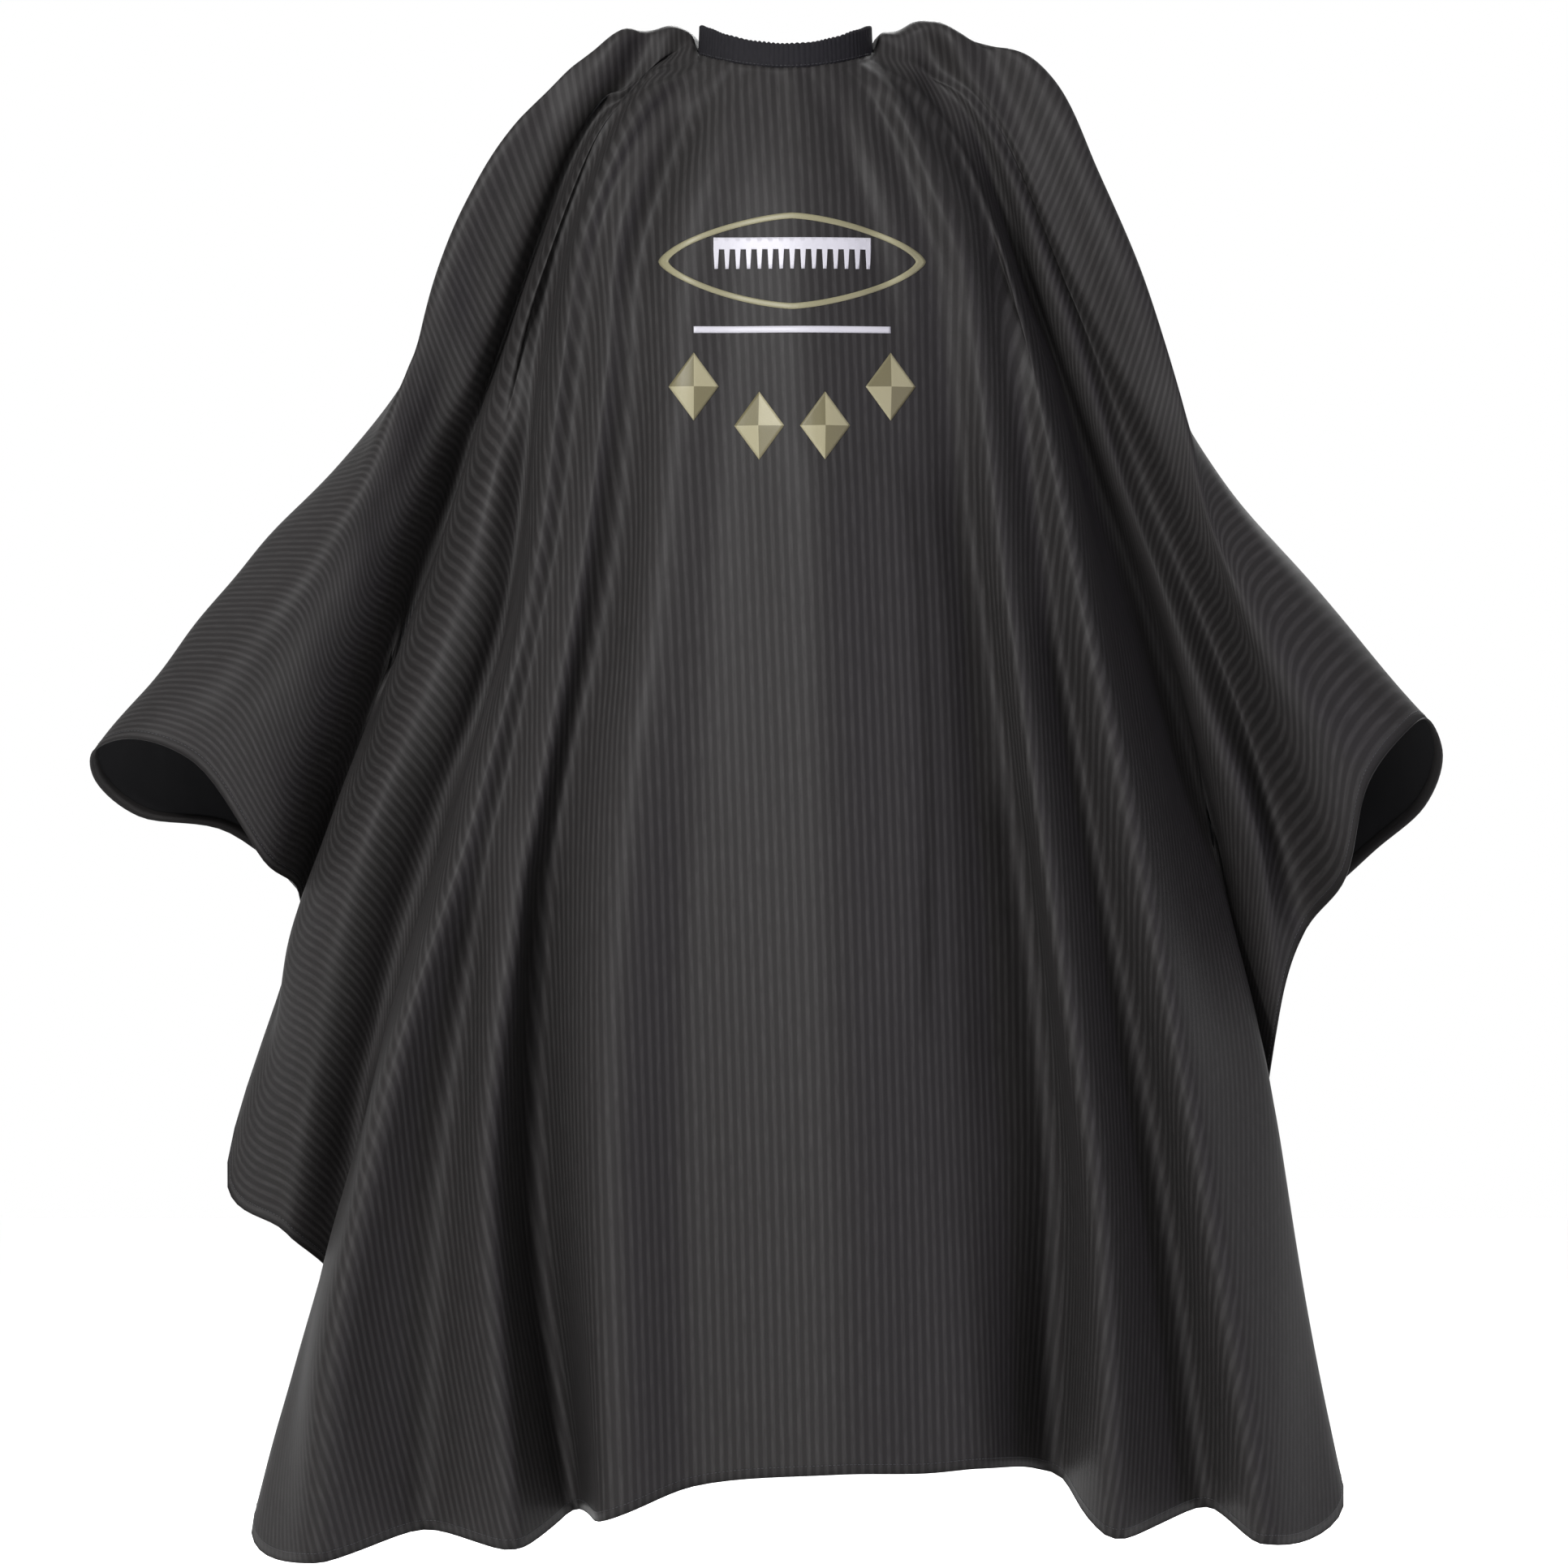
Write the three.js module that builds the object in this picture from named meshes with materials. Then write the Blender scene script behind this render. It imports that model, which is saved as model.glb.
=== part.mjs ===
// Barber cape, worn with the arms held out: one draped sheet of cloth, a gathered elastic neckband that opens at the
// back on snaps, a care label and a printed emblem. Millimetres, +Z up, front faces -Y, origin in the neckband's centre.
import * as THREE from "three";

// ---------- Driving dimensions ----------
const BAND_RADIUS = 65.8; // middle of the neckband's wall at its lower edge
const BAND_LEAN = 1.0; // how much narrower the band is at its top edge
const BAND_TOP_MEAN = 10; // top edge height, averaged round the neck
const BAND_TOP_SWING = 8; // the top edge is this much higher at the sides, lower at front and back
const BAND_HEIGHT = 18; // at the front and the back
const BAND_SIDE_EXTRA = 4; // added height at the sides
const BAND_HALF = 1.7; // half of the folded band's thickness
const BAND_WALL = 0.8; // one layer of the folded band
const ELASTIC_HALF = 0.5; // half of the elastic's thickness
const ELASTIC_CLEAR = 4; // from the band's lower edge to the elastic
const CLOTH = 1.0; // the cloth solids' thickness
const SEAM_DROP = 1.2; // cloth starts this far under the band
const PANEL_GAP = 0.7; // between neighbouring cloth solids
const HINGE_GAP = 3.2; // between a back strip and the cloth beside it
const HINGE_AZIMUTH = 147; // back strips swing about a line from here on the neck
const SLIT_AZIMUTH = 178.6; // edge of the back opening
const BACK_HINGE_HEM = [92, 152, -428]; // where the hinge line meets the hem
const BACK_SLIT_HEM = [3, 166, -420]; // foot of the back opening
const TAB_HEIGHT = 14;
const TAB_THICK = 1.2;
const TAB_END = 26; // reach of the tab past the opening, along the band
const TAB_ROOT = 12; // where the tab is sewn, along the band
const TAB_STEP = 3.3; // the tab stands out this much more over the snaps
const SNAP_Z = -7;
const SNAP_PLACES = [8, 20, 32]; // along the left band from the opening
const LABEL = { wide: 30, tall: 42, thick: 0.6, x: 17, y: 57.5, top: -19.5 };
const FILM = 0.3; // printed film
const FILM_LIFT = 1.3; // film's back above the cloth

const RAD = Math.PI / 180;
const smooth = (a, b, x) => THREE.MathUtils.smoothstep(x, a, b);

// ---------- Materials ----------
const finish = (color, roughness, metalness = 0) =>
  new THREE.MeshStandardMaterial({ color, roughness, metalness });
const CLOTH_LOOK = finish(0x2c2c2e, 0.62);
const BAND_LOOK = finish(0x1b1b1d, 0.75);
const ELASTIC_LOOK = finish(0x101010, 0.8);
const SNAP_LOOK = finish(0x8d8f94, 0.32, 1);
const LABEL_LOOK = finish(0xd9d6cf, 0.5);
const WHITE_FILM = finish(0xeceaf0, 0.45);
const GOLD_FILM = finish(0xc8bd94, 0.4);

const cape = new THREE.Group();
function addMesh(name, geometry, material) {
  const mesh = new THREE.Mesh(geometry, material);
  mesh.name = name;
  cape.add(mesh);
  return mesh;
}

// ---------- Closed shells ----------
// A closed solid between two grids of points, front[i][j] and back[i][j]. Where it loops, the last i joins the first.
function shellBetween(front, back, loops = false) {
  const rows = front.length;
  const cols = front[0].length;
  const points = [...front.flat(), ...back.flat()];
  const behind = rows * cols;
  const at = (i, j) => (i % rows) * cols + j;
  const faces = [];
  const quad = (a, b, c, d) => faces.push(a, b, c, a, c, d);
  const last = loops ? rows : rows - 1;
  for (let i = 0; i < last; i++) {
    for (let j = 0; j < cols - 1; j++) {
      const [a, b, c, d] = [at(i, j), at(i + 1, j), at(i + 1, j + 1), at(i, j + 1)];
      // both skins split along the same diagonal, so the wall between them keeps its thickness where a quad is twisted
      quad(a, b, c, d);
      quad(a + behind, d + behind, c + behind, b + behind);
    }
    const [a, b] = [at(i, 0), at(i + 1, 0)];
    quad(b, a, a + behind, b + behind);
    const [c, d] = [at(i, cols - 1), at(i + 1, cols - 1)];
    quad(c, d, d + behind, c + behind);
  }
  for (let j = 0; !loops && j < cols - 1; j++) {
    const [a, b] = [at(0, j), at(0, j + 1)];
    quad(a, b, b + behind, a + behind);
    const [c, d] = [at(rows - 1, j), at(rows - 1, j + 1)];
    quad(d, c, c + behind, d + behind);
  }
  return facingOut(points, faces);
}

// Indexed geometry, with every face turned round if the solid came out inside out.
function facingOut(points, faces) {
  let volume = 0;
  for (let k = 0; k < faces.length; k += 3) {
    const [a, b, c] = [points[faces[k]], points[faces[k + 1]], points[faces[k + 2]]];
    volume += a.dot(new THREE.Vector3().crossVectors(b, c));
  }
  if (volume < 0)
    for (let k = 0; k < faces.length; k += 3)
      [faces[k + 1], faces[k + 2]] = [faces[k + 2], faces[k + 1]];
  const geometry = new THREE.BufferGeometry().setFromPoints(points);
  geometry.setIndex(faces);
  geometry.computeVertexNormals();
  return geometry;
}

// A closed section carried round the neck: section(azimuth) lists [radius, height] corners in the same order each time.
function sweepRound(section, from, to, steps) {
  const points = [];
  const faces = [];
  const corners = section(from).length;
  for (let i = 0; i <= steps; i++) {
    const azimuth = from + ((to - from) * i) / steps;
    for (const [radius, height] of section(azimuth)) points.push(around(azimuth, radius, height));
  }
  for (let i = 0; i < steps; i++)
    for (let k = 0; k < corners; k++) {
      const [a, b] = [i * corners + k, i * corners + ((k + 1) % corners)];
      faces.push(a, b, b + corners, a, b + corners, a + corners);
    }
  const outline = section(from).map(([r, z]) => new THREE.Vector2(r, z));
  for (const [a, b, c] of THREE.ShapeUtils.triangulateShape(outline, [])) {
    const end = steps * corners;
    faces.push(a, c, b, a + end, b + end, c + end);
  }
  return facingOut(points, faces);
}

// ---------- Neck ring ----------
// Azimuth 0 is the middle of the front and grows towards +X; 180 is the back opening.
function around(azimuth, radius, height) {
  const a = azimuth * RAD;
  return new THREE.Vector3(radius * Math.sin(a), -radius * Math.cos(a), height);
}
const bandTop = (azimuth) => BAND_TOP_MEAN - BAND_TOP_SWING * Math.cos(2 * azimuth * RAD);
const bandHeight = (azimuth) => BAND_HEIGHT + BAND_SIDE_EXTRA * Math.sin(azimuth * RAD) ** 2;
const bandFoot = (azimuth) => bandTop(azimuth) - bandHeight(azimuth);
const alongBand = (length) => length / BAND_RADIUS / RAD; // a length along the band as an angle
const seam = (azimuth) => around(azimuth, BAND_RADIUS + 1.2, bandFoot(azimuth) - SEAM_DROP);

// ---------- Drape lines ----------
// The cloth hangs in ridges and valleys that run from the neck seam to the hem. Each line is its azimuth on the neck
// and the few points that it passes through, the last of them on the hem.
const RIGHT_LINES = [
  [14, [42, -112, -118], [72, -152, -380], [92, -182, -720], [105, -198, -1088]], // slope beside the middle
  [24, [72, -105, -116], [110, -132, -390], [120, -162, -700], [150, -176, -1085]], // soft crease
  [36, [76, -66, -60], [106, -92, -130], [124, -102, -235], [143, -106, -380], [183, -114, -660], [203, -108, -880],
    [203, -92, -1092]], // deep valley
  [46, [92, -64, -55], [132, -94, -130], [150, -114, -250], [165, -134, -390], [205, -160, -680], [240, -176, -900],
    [250, -176, -1138]], // ridge from the collar
  [56, [104, -50, -50], [150, -72, -130], [176, -80, -250], [196, -88, -380], [238, -98, -620], [292, -104, -900],
    [322, -94, -1118]], // valley
  [65, [114, -44, -45], [164, -66, -140], [192, -86, -250], [222, -106, -400], [275, -126, -640], [325, -146, -900],
    [368, -146, -1144]], // ridge of the front corner
  [70, [122, -36, -45], [180, -46, -170], [214, -50, -290], [252, -50, -450], [328, -34, -690], [366, -34, -800],
    [427, -44, -1119]],
  [75, [130, -26, -40], [190, -12, -190], [232, -4, -320], [272, 6, -430], [328, 22, -600], [350, 34, -740],
    [366, 66, -930]], // armpit
  [80, [136, -24, -35], [208, -22, -190], [264, -14, -345], [330, -14, -520], [364, -8, -610], [384, 8, -724]],
  [84, [140, -18, -30], [218, -12, -185], [288, -2, -360], [355, 12, -520], [402, 26, -676]], // under the arm
  [87, [142, -18, -22], [228, -34, -180], [298, -42, -330], [362, -50, -470], [430, -22, -637]],
  [90, [128, -14, 9], [196, -22, -14], [240, -32, -95], [292, -42, -225], [332, -54, -370], [398, -58, -485],
    [448, -44, -563]], // shoulder fold, then the front of the arm
  [93, [118, -2, 14], [188, -6, -26], [234, -10, -120], [285, -22, -245], [345, -30, -350], [412, -32, -445],
    [478, -28, -524]],
  [97, [108, 12, 12], [178, 12, -38], [226, 12, -140], [282, 14, -265], [330, 16, -322], [398, 16, -404],
    [496, 4, -514]], // top of the arm
  [102, [104, 26, 7], [174, 40, -45], [232, 52, -150], [300, 60, -290], [380, 60, -395], [508, 30, -542]],
  [108, [98, 42, 0], [170, 72, -60], [240, 94, -180], [320, 104, -330], [410, 98, -470], [495, 66, -582]],
  [115, [88, 54, -8], [165, 98, -85], [240, 126, -220], [320, 136, -390], [390, 128, -520], [452, 96, -621]],
  [121, [80, 64, -15], [146, 112, -110], [218, 144, -260], [286, 156, -430], [336, 150, -570], [374, 122, -700]],
  [127, [72, 70, -22], [124, 118, -130], [192, 150, -300], [252, 168, -480], [328, 150, -790]], // back corner
  [134, [60, 76, -28], [98, 128, -140], [150, 170, -300], [196, 196, -470], [236, 204, -640]], // back ridge
  [141, [50, 68, -40], [78, 98, -150], [104, 118, -280], [128, 126, -400], [150, 122, -512]], // back valley
];
const LEFT_LINES = [
  [14, [-30, -112, -118], [-50, -148, -380], [-70, -176, -720], [-70, -192, -1098]], // soft valley
  [26, [-62, -108, -116], [-98, -152, -390], [-132, -188, -700], [-135, -208, -1123]], // broad ridge
  [38, [-68, -66, -60], [-100, -90, -130], [-114, -102, -235], [-130, -110, -380], [-180, -118, -640],
    [-190, -112, -880], [-163, -96, -1121]], // deep valley
  [48, [-84, -62, -52], [-122, -92, -130], [-138, -110, -250], [-154, -124, -390], [-200, -146, -640],
    [-226, -160, -870], [-206, -166, -1147]], // ridge from the collar
  [57, [-98, -52, -48], [-140, -74, -130], [-158, -86, -250], [-174, -98, -380], [-232, -114, -650],
    [-270, -122, -870], [-276, -122, -1134]],
  [63, [-108, -50, -45], [-156, -74, -140], [-174, -90, -260], [-190, -102, -390], [-242, -122, -600],
    [-300, -146, -780], [-343, -168, -980], [-358, -174, -1157]], // ridge of the front corner
  [68, [-117, -40, -46], [-170, -58, -165], [-188, -70, -290], [-202, -80, -410], [-254, -96, -590],
    [-312, -102, -780], [-353, -92, -930], [-407, -84, -1138]],
  [72, [-124, -32, -44], [-180, -42, -175], [-200, -48, -310], [-216, -52, -430], [-262, -48, -575],
    [-310, -36, -740], [-333, -12, -880], [-340, 10, -960]],
  [76, [-130, -32, -42], [-190, -46, -180], [-226, -58, -330], [-266, -68, -470], [-320, -66, -600],
    [-352, -56, -720], [-384, -44, -909]], // ridge of the side fold
  [80, [-136, -26, -44], [-200, -28, -190], [-242, -32, -320], [-286, -30, -440], [-346, -20, -590],
    [-381, -8, -700], [-402, 2, -785], [-431, 8, -875]],
  [84, [-142, -18, -46], [-210, -10, -200], [-254, 0, -330], [-300, 8, -450], [-346, 20, -580],
    [-374, 34, -656]], // armpit
  [87, [-146, -20, -48], [-238, -32, -230], [-302, -38, -370], [-360, -42, -500], [-401, -26, -624]],
  [90, [-128, -14, 9], [-205, -26, -57], [-246, -34, -122], [-285, -42, -226], [-328, -54, -350], [-392, -58, -460],
    [-453, -42, -549]], // shoulder fold, then the front of the arm
  [93, [-118, -2, 12], [-193, -6, -66], [-240, -12, -160], [-296, -26, -262], [-362, -32, -368], [-435, -32, -458],
    [-501, -28, -530]],
  [97, [-108, 12, 9], [-183, 14, -72], [-240, 16, -170], [-300, 18, -258], [-335, 18, -312], [-412, 18, -390],
    [-533, 4, -540]], // top of the arm
  [102, [-102, 26, 6], [-178, 42, -78], [-240, 54, -190], [-310, 60, -310], [-410, 56, -440], [-532, 32, -563]],
  [108, [-95, 42, 0], [-170, 74, -85], [-240, 94, -210], [-320, 102, -350], [-410, 94, -490], [-500, 64, -590]],
  [115, [-86, 54, -8], [-160, 98, -100], [-230, 124, -250], [-305, 134, -400], [-365, 126, -520], [-430, 94, -603]],
  [121, [-80, 64, -15], [-148, 112, -120], [-220, 142, -280], [-283, 152, -440], [-326, 146, -560], [-360, 124, -672]],
  [127, [-72, 70, -22], [-124, 118, -130], [-192, 150, -300], [-254, 168, -480], [-332, 150, -770]], // back corner
  [134, [-60, 76, -28], [-98, 128, -140], [-150, 170, -300], [-196, 196, -470], [-238, 204, -634]], // back ridge
  [141, [-50, 68, -40], [-78, 98, -150], [-104, 118, -280], [-128, 126, -400], [-150, 122, -508]], // back valley
];
const FRONT_LINE = [0, [6, -118, -120], [18, -168, -380], [30, -202, -720], [38, -224, -1088]];

// Points a quarter of the way apart on the straight line from the seam to the hem, for the flat back strips.
function straightLine(azimuth, side, hem) {
  const start = seam(side * azimuth);
  const end = new THREE.Vector3(side * hem[0], hem[1], hem[2]);
  const points = [0.25, 0.5, 0.75, 1].map((t) => start.clone().lerp(end, t).toArray());
  return [azimuth, ...points];
}
const backLines = (side) => [
  straightLine(HINGE_AZIMUTH, side, BACK_HINGE_HEM),
  straightLine(SLIT_AZIMUTH, side, BACK_SLIT_HEM),
];

const lines = [
  ...[...LEFT_LINES, ...backLines(-1)].reverse().map(([azimuth, ...points]) => [-azimuth, ...points]),
  FRONT_LINE,
  ...[...RIGHT_LINES, ...backLines(1)],
];
const lineCurves = lines.map(
  ([azimuth, ...points]) =>
    new THREE.CatmullRomCurve3([seam(azimuth), ...points.map((p) => new THREE.Vector3(...p))], false, "centripetal"),
);
const FRONT_INDEX = LEFT_LINES.length + 2;
const LAST_INDEX = lines.length - 1;

// Rows of cloth points, closer together near the neck where the cloth turns over the shoulders.
const ROWS = [0, 0.05, 0.1, 0.16, 0.23, 0.31, 0.4, 0.5, 0.6, 0.7, 0.8, 0.9, 1];
const rowCurves = ROWS.map(
  (v) => new THREE.CatmullRomCurve3(lineCurves.map((c) => c.getPointAt(v)), false, "centripetal"),
);
const clothPoint = (row, place) => rowCurves[row].getPoint(place / LAST_INDEX);

// The cloth's outward direction, square to the row and to the line through the point.
function clothNormal(row, place) {
  const low = Math.max(place - 0.1, 0);
  const high = Math.min(place + 0.1, LAST_INDEX);
  const across = clothPoint(row, high).sub(clothPoint(row, low));
  const down = clothPoint(Math.min(row + 1, ROWS.length - 1), place).sub(clothPoint(Math.max(row - 1, 0), place));
  return down.cross(across).normalize();
}

// One closed panel of cloth between two places on the row of lines, pulled in by a gap at each side.
function clothPanel(from, to, perLine, gapFrom, gapTo) {
  const steps = Math.round((to - from) * perLine);
  const outer = [];
  const inner = [];
  for (let i = 0; i <= steps; i++) {
    const place = from + ((to - from) * i) / steps;
    const points = ROWS.map((_, row) => clothPoint(row, place));
    if (i === 0 || i === steps) {
      const nextPlace = i === 0 ? from + 1 / perLine : to - 1 / perLine;
      const gap = i === 0 ? gapFrom : gapTo;
      points.forEach((p, row) => {
        const inward = clothPoint(row, nextPlace).sub(p).normalize();
        p.addScaledVector(inward, gap / 2);
      });
    }
    outer.push(points);
    inner.push(points.map((p, row) => p.clone().addScaledVector(clothNormal(row, place), -CLOTH)));
  }
  return shellBetween(outer, inner);
}

const lineAt = (azimuth) => lines.findIndex(([a]) => a === azimuth);
const LEFT_HINGE = lineAt(-HINGE_AZIMUTH);
const RIGHT_HINGE = lineAt(HINGE_AZIMUTH);
const CLOTH_PANELS = [
  ["cape_back_left", 0, LEFT_HINGE, 3, 0, HINGE_GAP],
  ["cape_rear_left", LEFT_HINGE, lineAt(-97), 2, HINGE_GAP, PANEL_GAP],
  ["cape_side_left", lineAt(-97), lineAt(-72), 2, PANEL_GAP, PANEL_GAP],
  ["cape_front", lineAt(-72), lineAt(65), 2, PANEL_GAP, PANEL_GAP],
  ["cape_side_right", lineAt(65), lineAt(97), 2, PANEL_GAP, PANEL_GAP],
  ["cape_rear_right", lineAt(97), RIGHT_HINGE, 2, PANEL_GAP, HINGE_GAP],
  ["cape_back_right", RIGHT_HINGE, LAST_INDEX, 3, HINGE_GAP, 0],
];
for (const [name, ...panel] of CLOTH_PANELS) addMesh(name, clothPanel(...panel), CLOTH_LOOK);
const clothFront = cape.getObjectByName("cape_front");

// ---------- Neckband and its elastic ----------
// The band is one strip folded over at the top, so its section is an upturned U. The elastic lies in the fold.
function bandSection(azimuth) {
  const foot = bandFoot(azimuth);
  const top = bandTop(azimuth);
  const low = BAND_RADIUS;
  const high = BAND_RADIUS - BAND_LEAN;
  const room = BAND_HALF - BAND_WALL;
  return [
    [low + BAND_HALF, foot],
    [high + BAND_HALF, top],
    [high - BAND_HALF, top],
    [low - BAND_HALF, foot],
    [low - room, foot],
    [high - room, top - BAND_WALL],
    [high + room, top - BAND_WALL],
    [low + room, foot],
  ];
}
function elasticSection(azimuth) {
  const foot = bandFoot(azimuth) + ELASTIC_CLEAR;
  const top = bandTop(azimuth) - BAND_WALL - 0.6;
  const middle = (height) =>
    BAND_RADIUS - (BAND_LEAN * (height - bandFoot(azimuth))) / bandHeight(azimuth);
  return [
    [middle(foot) + ELASTIC_HALF, foot],
    [middle(top) + ELASTIC_HALF, top],
    [middle(top) - ELASTIC_HALF, top],
    [middle(foot) - ELASTIC_HALF, foot],
  ];
}
const hingeCut = alongBand(HINGE_GAP / 2);
const BAND_PARTS = [
  ["front", -HINGE_AZIMUTH + hingeCut, HINGE_AZIMUTH - hingeCut, 48],
  ["back_right", HINGE_AZIMUTH + hingeCut, SLIT_AZIMUTH, 6],
  ["back_left", -SLIT_AZIMUTH, -HINGE_AZIMUTH - hingeCut, 6],
];
for (const [part, from, to, steps] of BAND_PARTS) {
  addMesh("neckband_" + part, sweepRound(bandSection, from, to, steps), BAND_LOOK);
  addMesh("elastic_" + part, sweepRound(elasticSection, from + 1, to - 1, steps), ELASTIC_LOOK);
}

// ---------- Closure tab ----------
// A two-layer strip sewn to the right band end. It steps outwards over the snaps on the left end.
const bandFace = BAND_RADIUS + BAND_HALF;
function tabSection(azimuth) {
  const past = ((azimuth - 180) * RAD) * BAND_RADIUS; // length past the opening
  const inner = bandFace + 0.4 + (TAB_STEP - 0.4) * smooth(-4, 2.5, past);
  const rounding = past > TAB_END - 5 ? 5 - Math.sqrt(Math.max(25 - (past - TAB_END + 5) ** 2, 1)) : 0;
  const half = TAB_HEIGHT / 2 - rounding;
  return [
    [inner + TAB_THICK, SNAP_Z - half],
    [inner + TAB_THICK, SNAP_Z + half],
    [inner, SNAP_Z + half],
    [inner, SNAP_Z - half],
  ];
}
const tabRoot = 180 - alongBand(TAB_ROOT);
addMesh("closure_tab", sweepRound(tabSection, tabRoot, 180 + alongBand(TAB_END), 24), BAND_LOOK);

// ---------- Snaps ----------
// Turned parts: the profile lists [radius, height] and spins about the snap's own axis, which points away from the neck.
function addSnap(name, profile, place, radius) {
  const outline = profile.map(([r, h]) => new THREE.Vector2(r, h));
  const mesh = addMesh(name, new THREE.LatheGeometry(outline, 12), SNAP_LOOK);
  const azimuth = 180 + alongBand(place);
  mesh.position.copy(around(azimuth, radius, SNAP_Z));
  mesh.rotation.z = (azimuth + 180) * RAD; // turns the lathe's +Y axis straight out from the neck
  return mesh;
}
const STUD = [[0, 0], [4.5, 0], [4.5, 0.5], [1.8, 0.7], [1.6, 1.3], [1.9, 1.8], [1.3, 2.2], [0, 2.2]];
const POST = [[0, -0.7], [3.4, -0.7], [4.4, -0.3], [4.4, 0], [0, 0]];
const SOCKET = [[3.4, 0], [4.4, 0], [4.7, 0.3], [4.7, 1.0], [3.4, 1.0], [3.4, 0]];
const CAP = [[0, 0], [5, 0], [5, 0.4], [4.2, 1.0], [2.2, 1.4], [0, 1.5]];
SNAP_PLACES.forEach((place, k) => {
  addSnap("snap_stud_" + (k + 1), STUD, place, bandFace + 0.3);
  addSnap("snap_post_" + (k + 1), POST, place, BAND_RADIUS - BAND_LEAN - BAND_HALF - 0.4);
});
SNAP_PLACES.slice(0, 2).forEach((place, k) => {
  addSnap("snap_socket_" + (k + 1), SOCKET, place, bandFace + TAB_STEP - 1.4);
  addSnap("snap_cap_" + (k + 1), CAP, place, bandFace + TAB_STEP + TAB_THICK + 0.4);
});

// ---------- Care label ----------
// A blank folded label that hangs from the seam inside the right back.
const label = addMesh("care_label", new THREE.BoxGeometry(LABEL.wide, LABEL.thick, LABEL.tall), LABEL_LOOK);
label.position.set(LABEL.x, LABEL.y, LABEL.top - LABEL.tall / 2);

// ---------- Printed emblem ----------
// Film pieces are drawn flat and laid on the cloth from the front: each point goes back along Y until it meets the cloth.
clothFront.updateMatrixWorld(true);
function onCloth(x, z, lift) {
  const ray = new THREE.Raycaster(new THREE.Vector3(x, -600, z), new THREE.Vector3(0, 1, 0));
  const hit = ray.intersectObject(clothFront)[0];
  return hit.point.add(new THREE.Vector3(0, lift / Math.min(hit.face.normal.y, -0.5), 0));
}
function addFilmGrid(name, flat, material, loops = false) {
  const lay = (lift) => flat.map((row) => row.map(([x, z]) => onCloth(x, z, lift)));
  return addMesh(name, shellBetween(lay(FILM_LIFT + FILM), lay(FILM_LIFT), loops), material);
}
const EMBLEM = { x: 5, outlineZ: -166, outlineWide: 204, outlineTall: 74, line: 4.5 };

// Outline: a long lozenge with rounded corners, from a superellipse of low power, and the same shape a line's width in.
const LOOP_STEPS = 96;
const outline = Array.from({ length: LOOP_STEPS }, (_, k) => {
  const a = (2 * Math.PI * k) / LOOP_STEPS;
  const bend = (value) => Math.sign(value) * Math.abs(value) ** 1.35;
  const [cx, cz] = [bend(Math.cos(a)), bend(Math.sin(a))];
  return [0, EMBLEM.line].map((inset) => [
    EMBLEM.x + cx * (EMBLEM.outlineWide / 2 - 1.7 * inset),
    EMBLEM.outlineZ + cz * (EMBLEM.outlineTall / 2 - inset),
  ]);
});
addFilmGrid("emblem_outline", outline, GOLD_FILM, true);

// Comb: a long back with a row of teeth under it, each a little narrower at its tip.
const COMB = { wide: 120, back: 9, teeth: 15, long: 15, taper: 0.8, z: -157 };
const pitch = COMB.wide / (2 * COMB.teeth - 1);
const combFlat = [];
for (let k = 0; k < COMB.teeth; k++) {
  const left = EMBLEM.x - COMB.wide / 2 + 2 * k * pitch;
  for (const [x, low] of [
    [left, COMB.z],
    [left + COMB.taper, COMB.z - COMB.long],
    [left + pitch - COMB.taper, COMB.z - COMB.long],
    [left + pitch, COMB.z],
  ])
    combFlat.push([[x, COMB.z + COMB.back], [x, low]]);
}
addFilmGrid("emblem_comb", combFlat, WHITE_FILM);

// Rule: a thin straight line under the outline.
const RULE = { wide: 150, tall: 5, z: -216, steps: 20 };
const ruleFlat = Array.from({ length: RULE.steps + 1 }, (_, k) => {
  const x = EMBLEM.x + RULE.wide * (k / RULE.steps - 0.5);
  return [[x, RULE.z], [x, RULE.z - RULE.tall]];
});
addFilmGrid("emblem_rule", ruleFlat, WHITE_FILM);

// Lozenges: four in a shallow V under the rule.
const LOZENGE = { wide: 38, tall: 52, spacing: 50, z: -262, dip: 30, cells: 6 };
[-1.5, -0.5, 0.5, 1.5].forEach((place, k) => {
  const x = EMBLEM.x + place * LOZENGE.spacing;
  const z = LOZENGE.z - (Math.abs(place) < 1 ? LOZENGE.dip : 0);
  const side = Array.from({ length: LOZENGE.cells + 1 }, (_, n) => n / LOZENGE.cells - 0.5);
  const flat = side.map((a) => side.map((b) => [x + ((a - b) * LOZENGE.wide) / 2, z + ((a + b) * LOZENGE.tall) / 2]));
  addFilmGrid("emblem_lozenge_" + (k + 1), flat, GOLD_FILM);
});

export default cape;
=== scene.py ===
"""A black pinstriped barber cape, draped as on a wearer with the arms held out, built piece by piece in
sewing order.
"""

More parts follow.
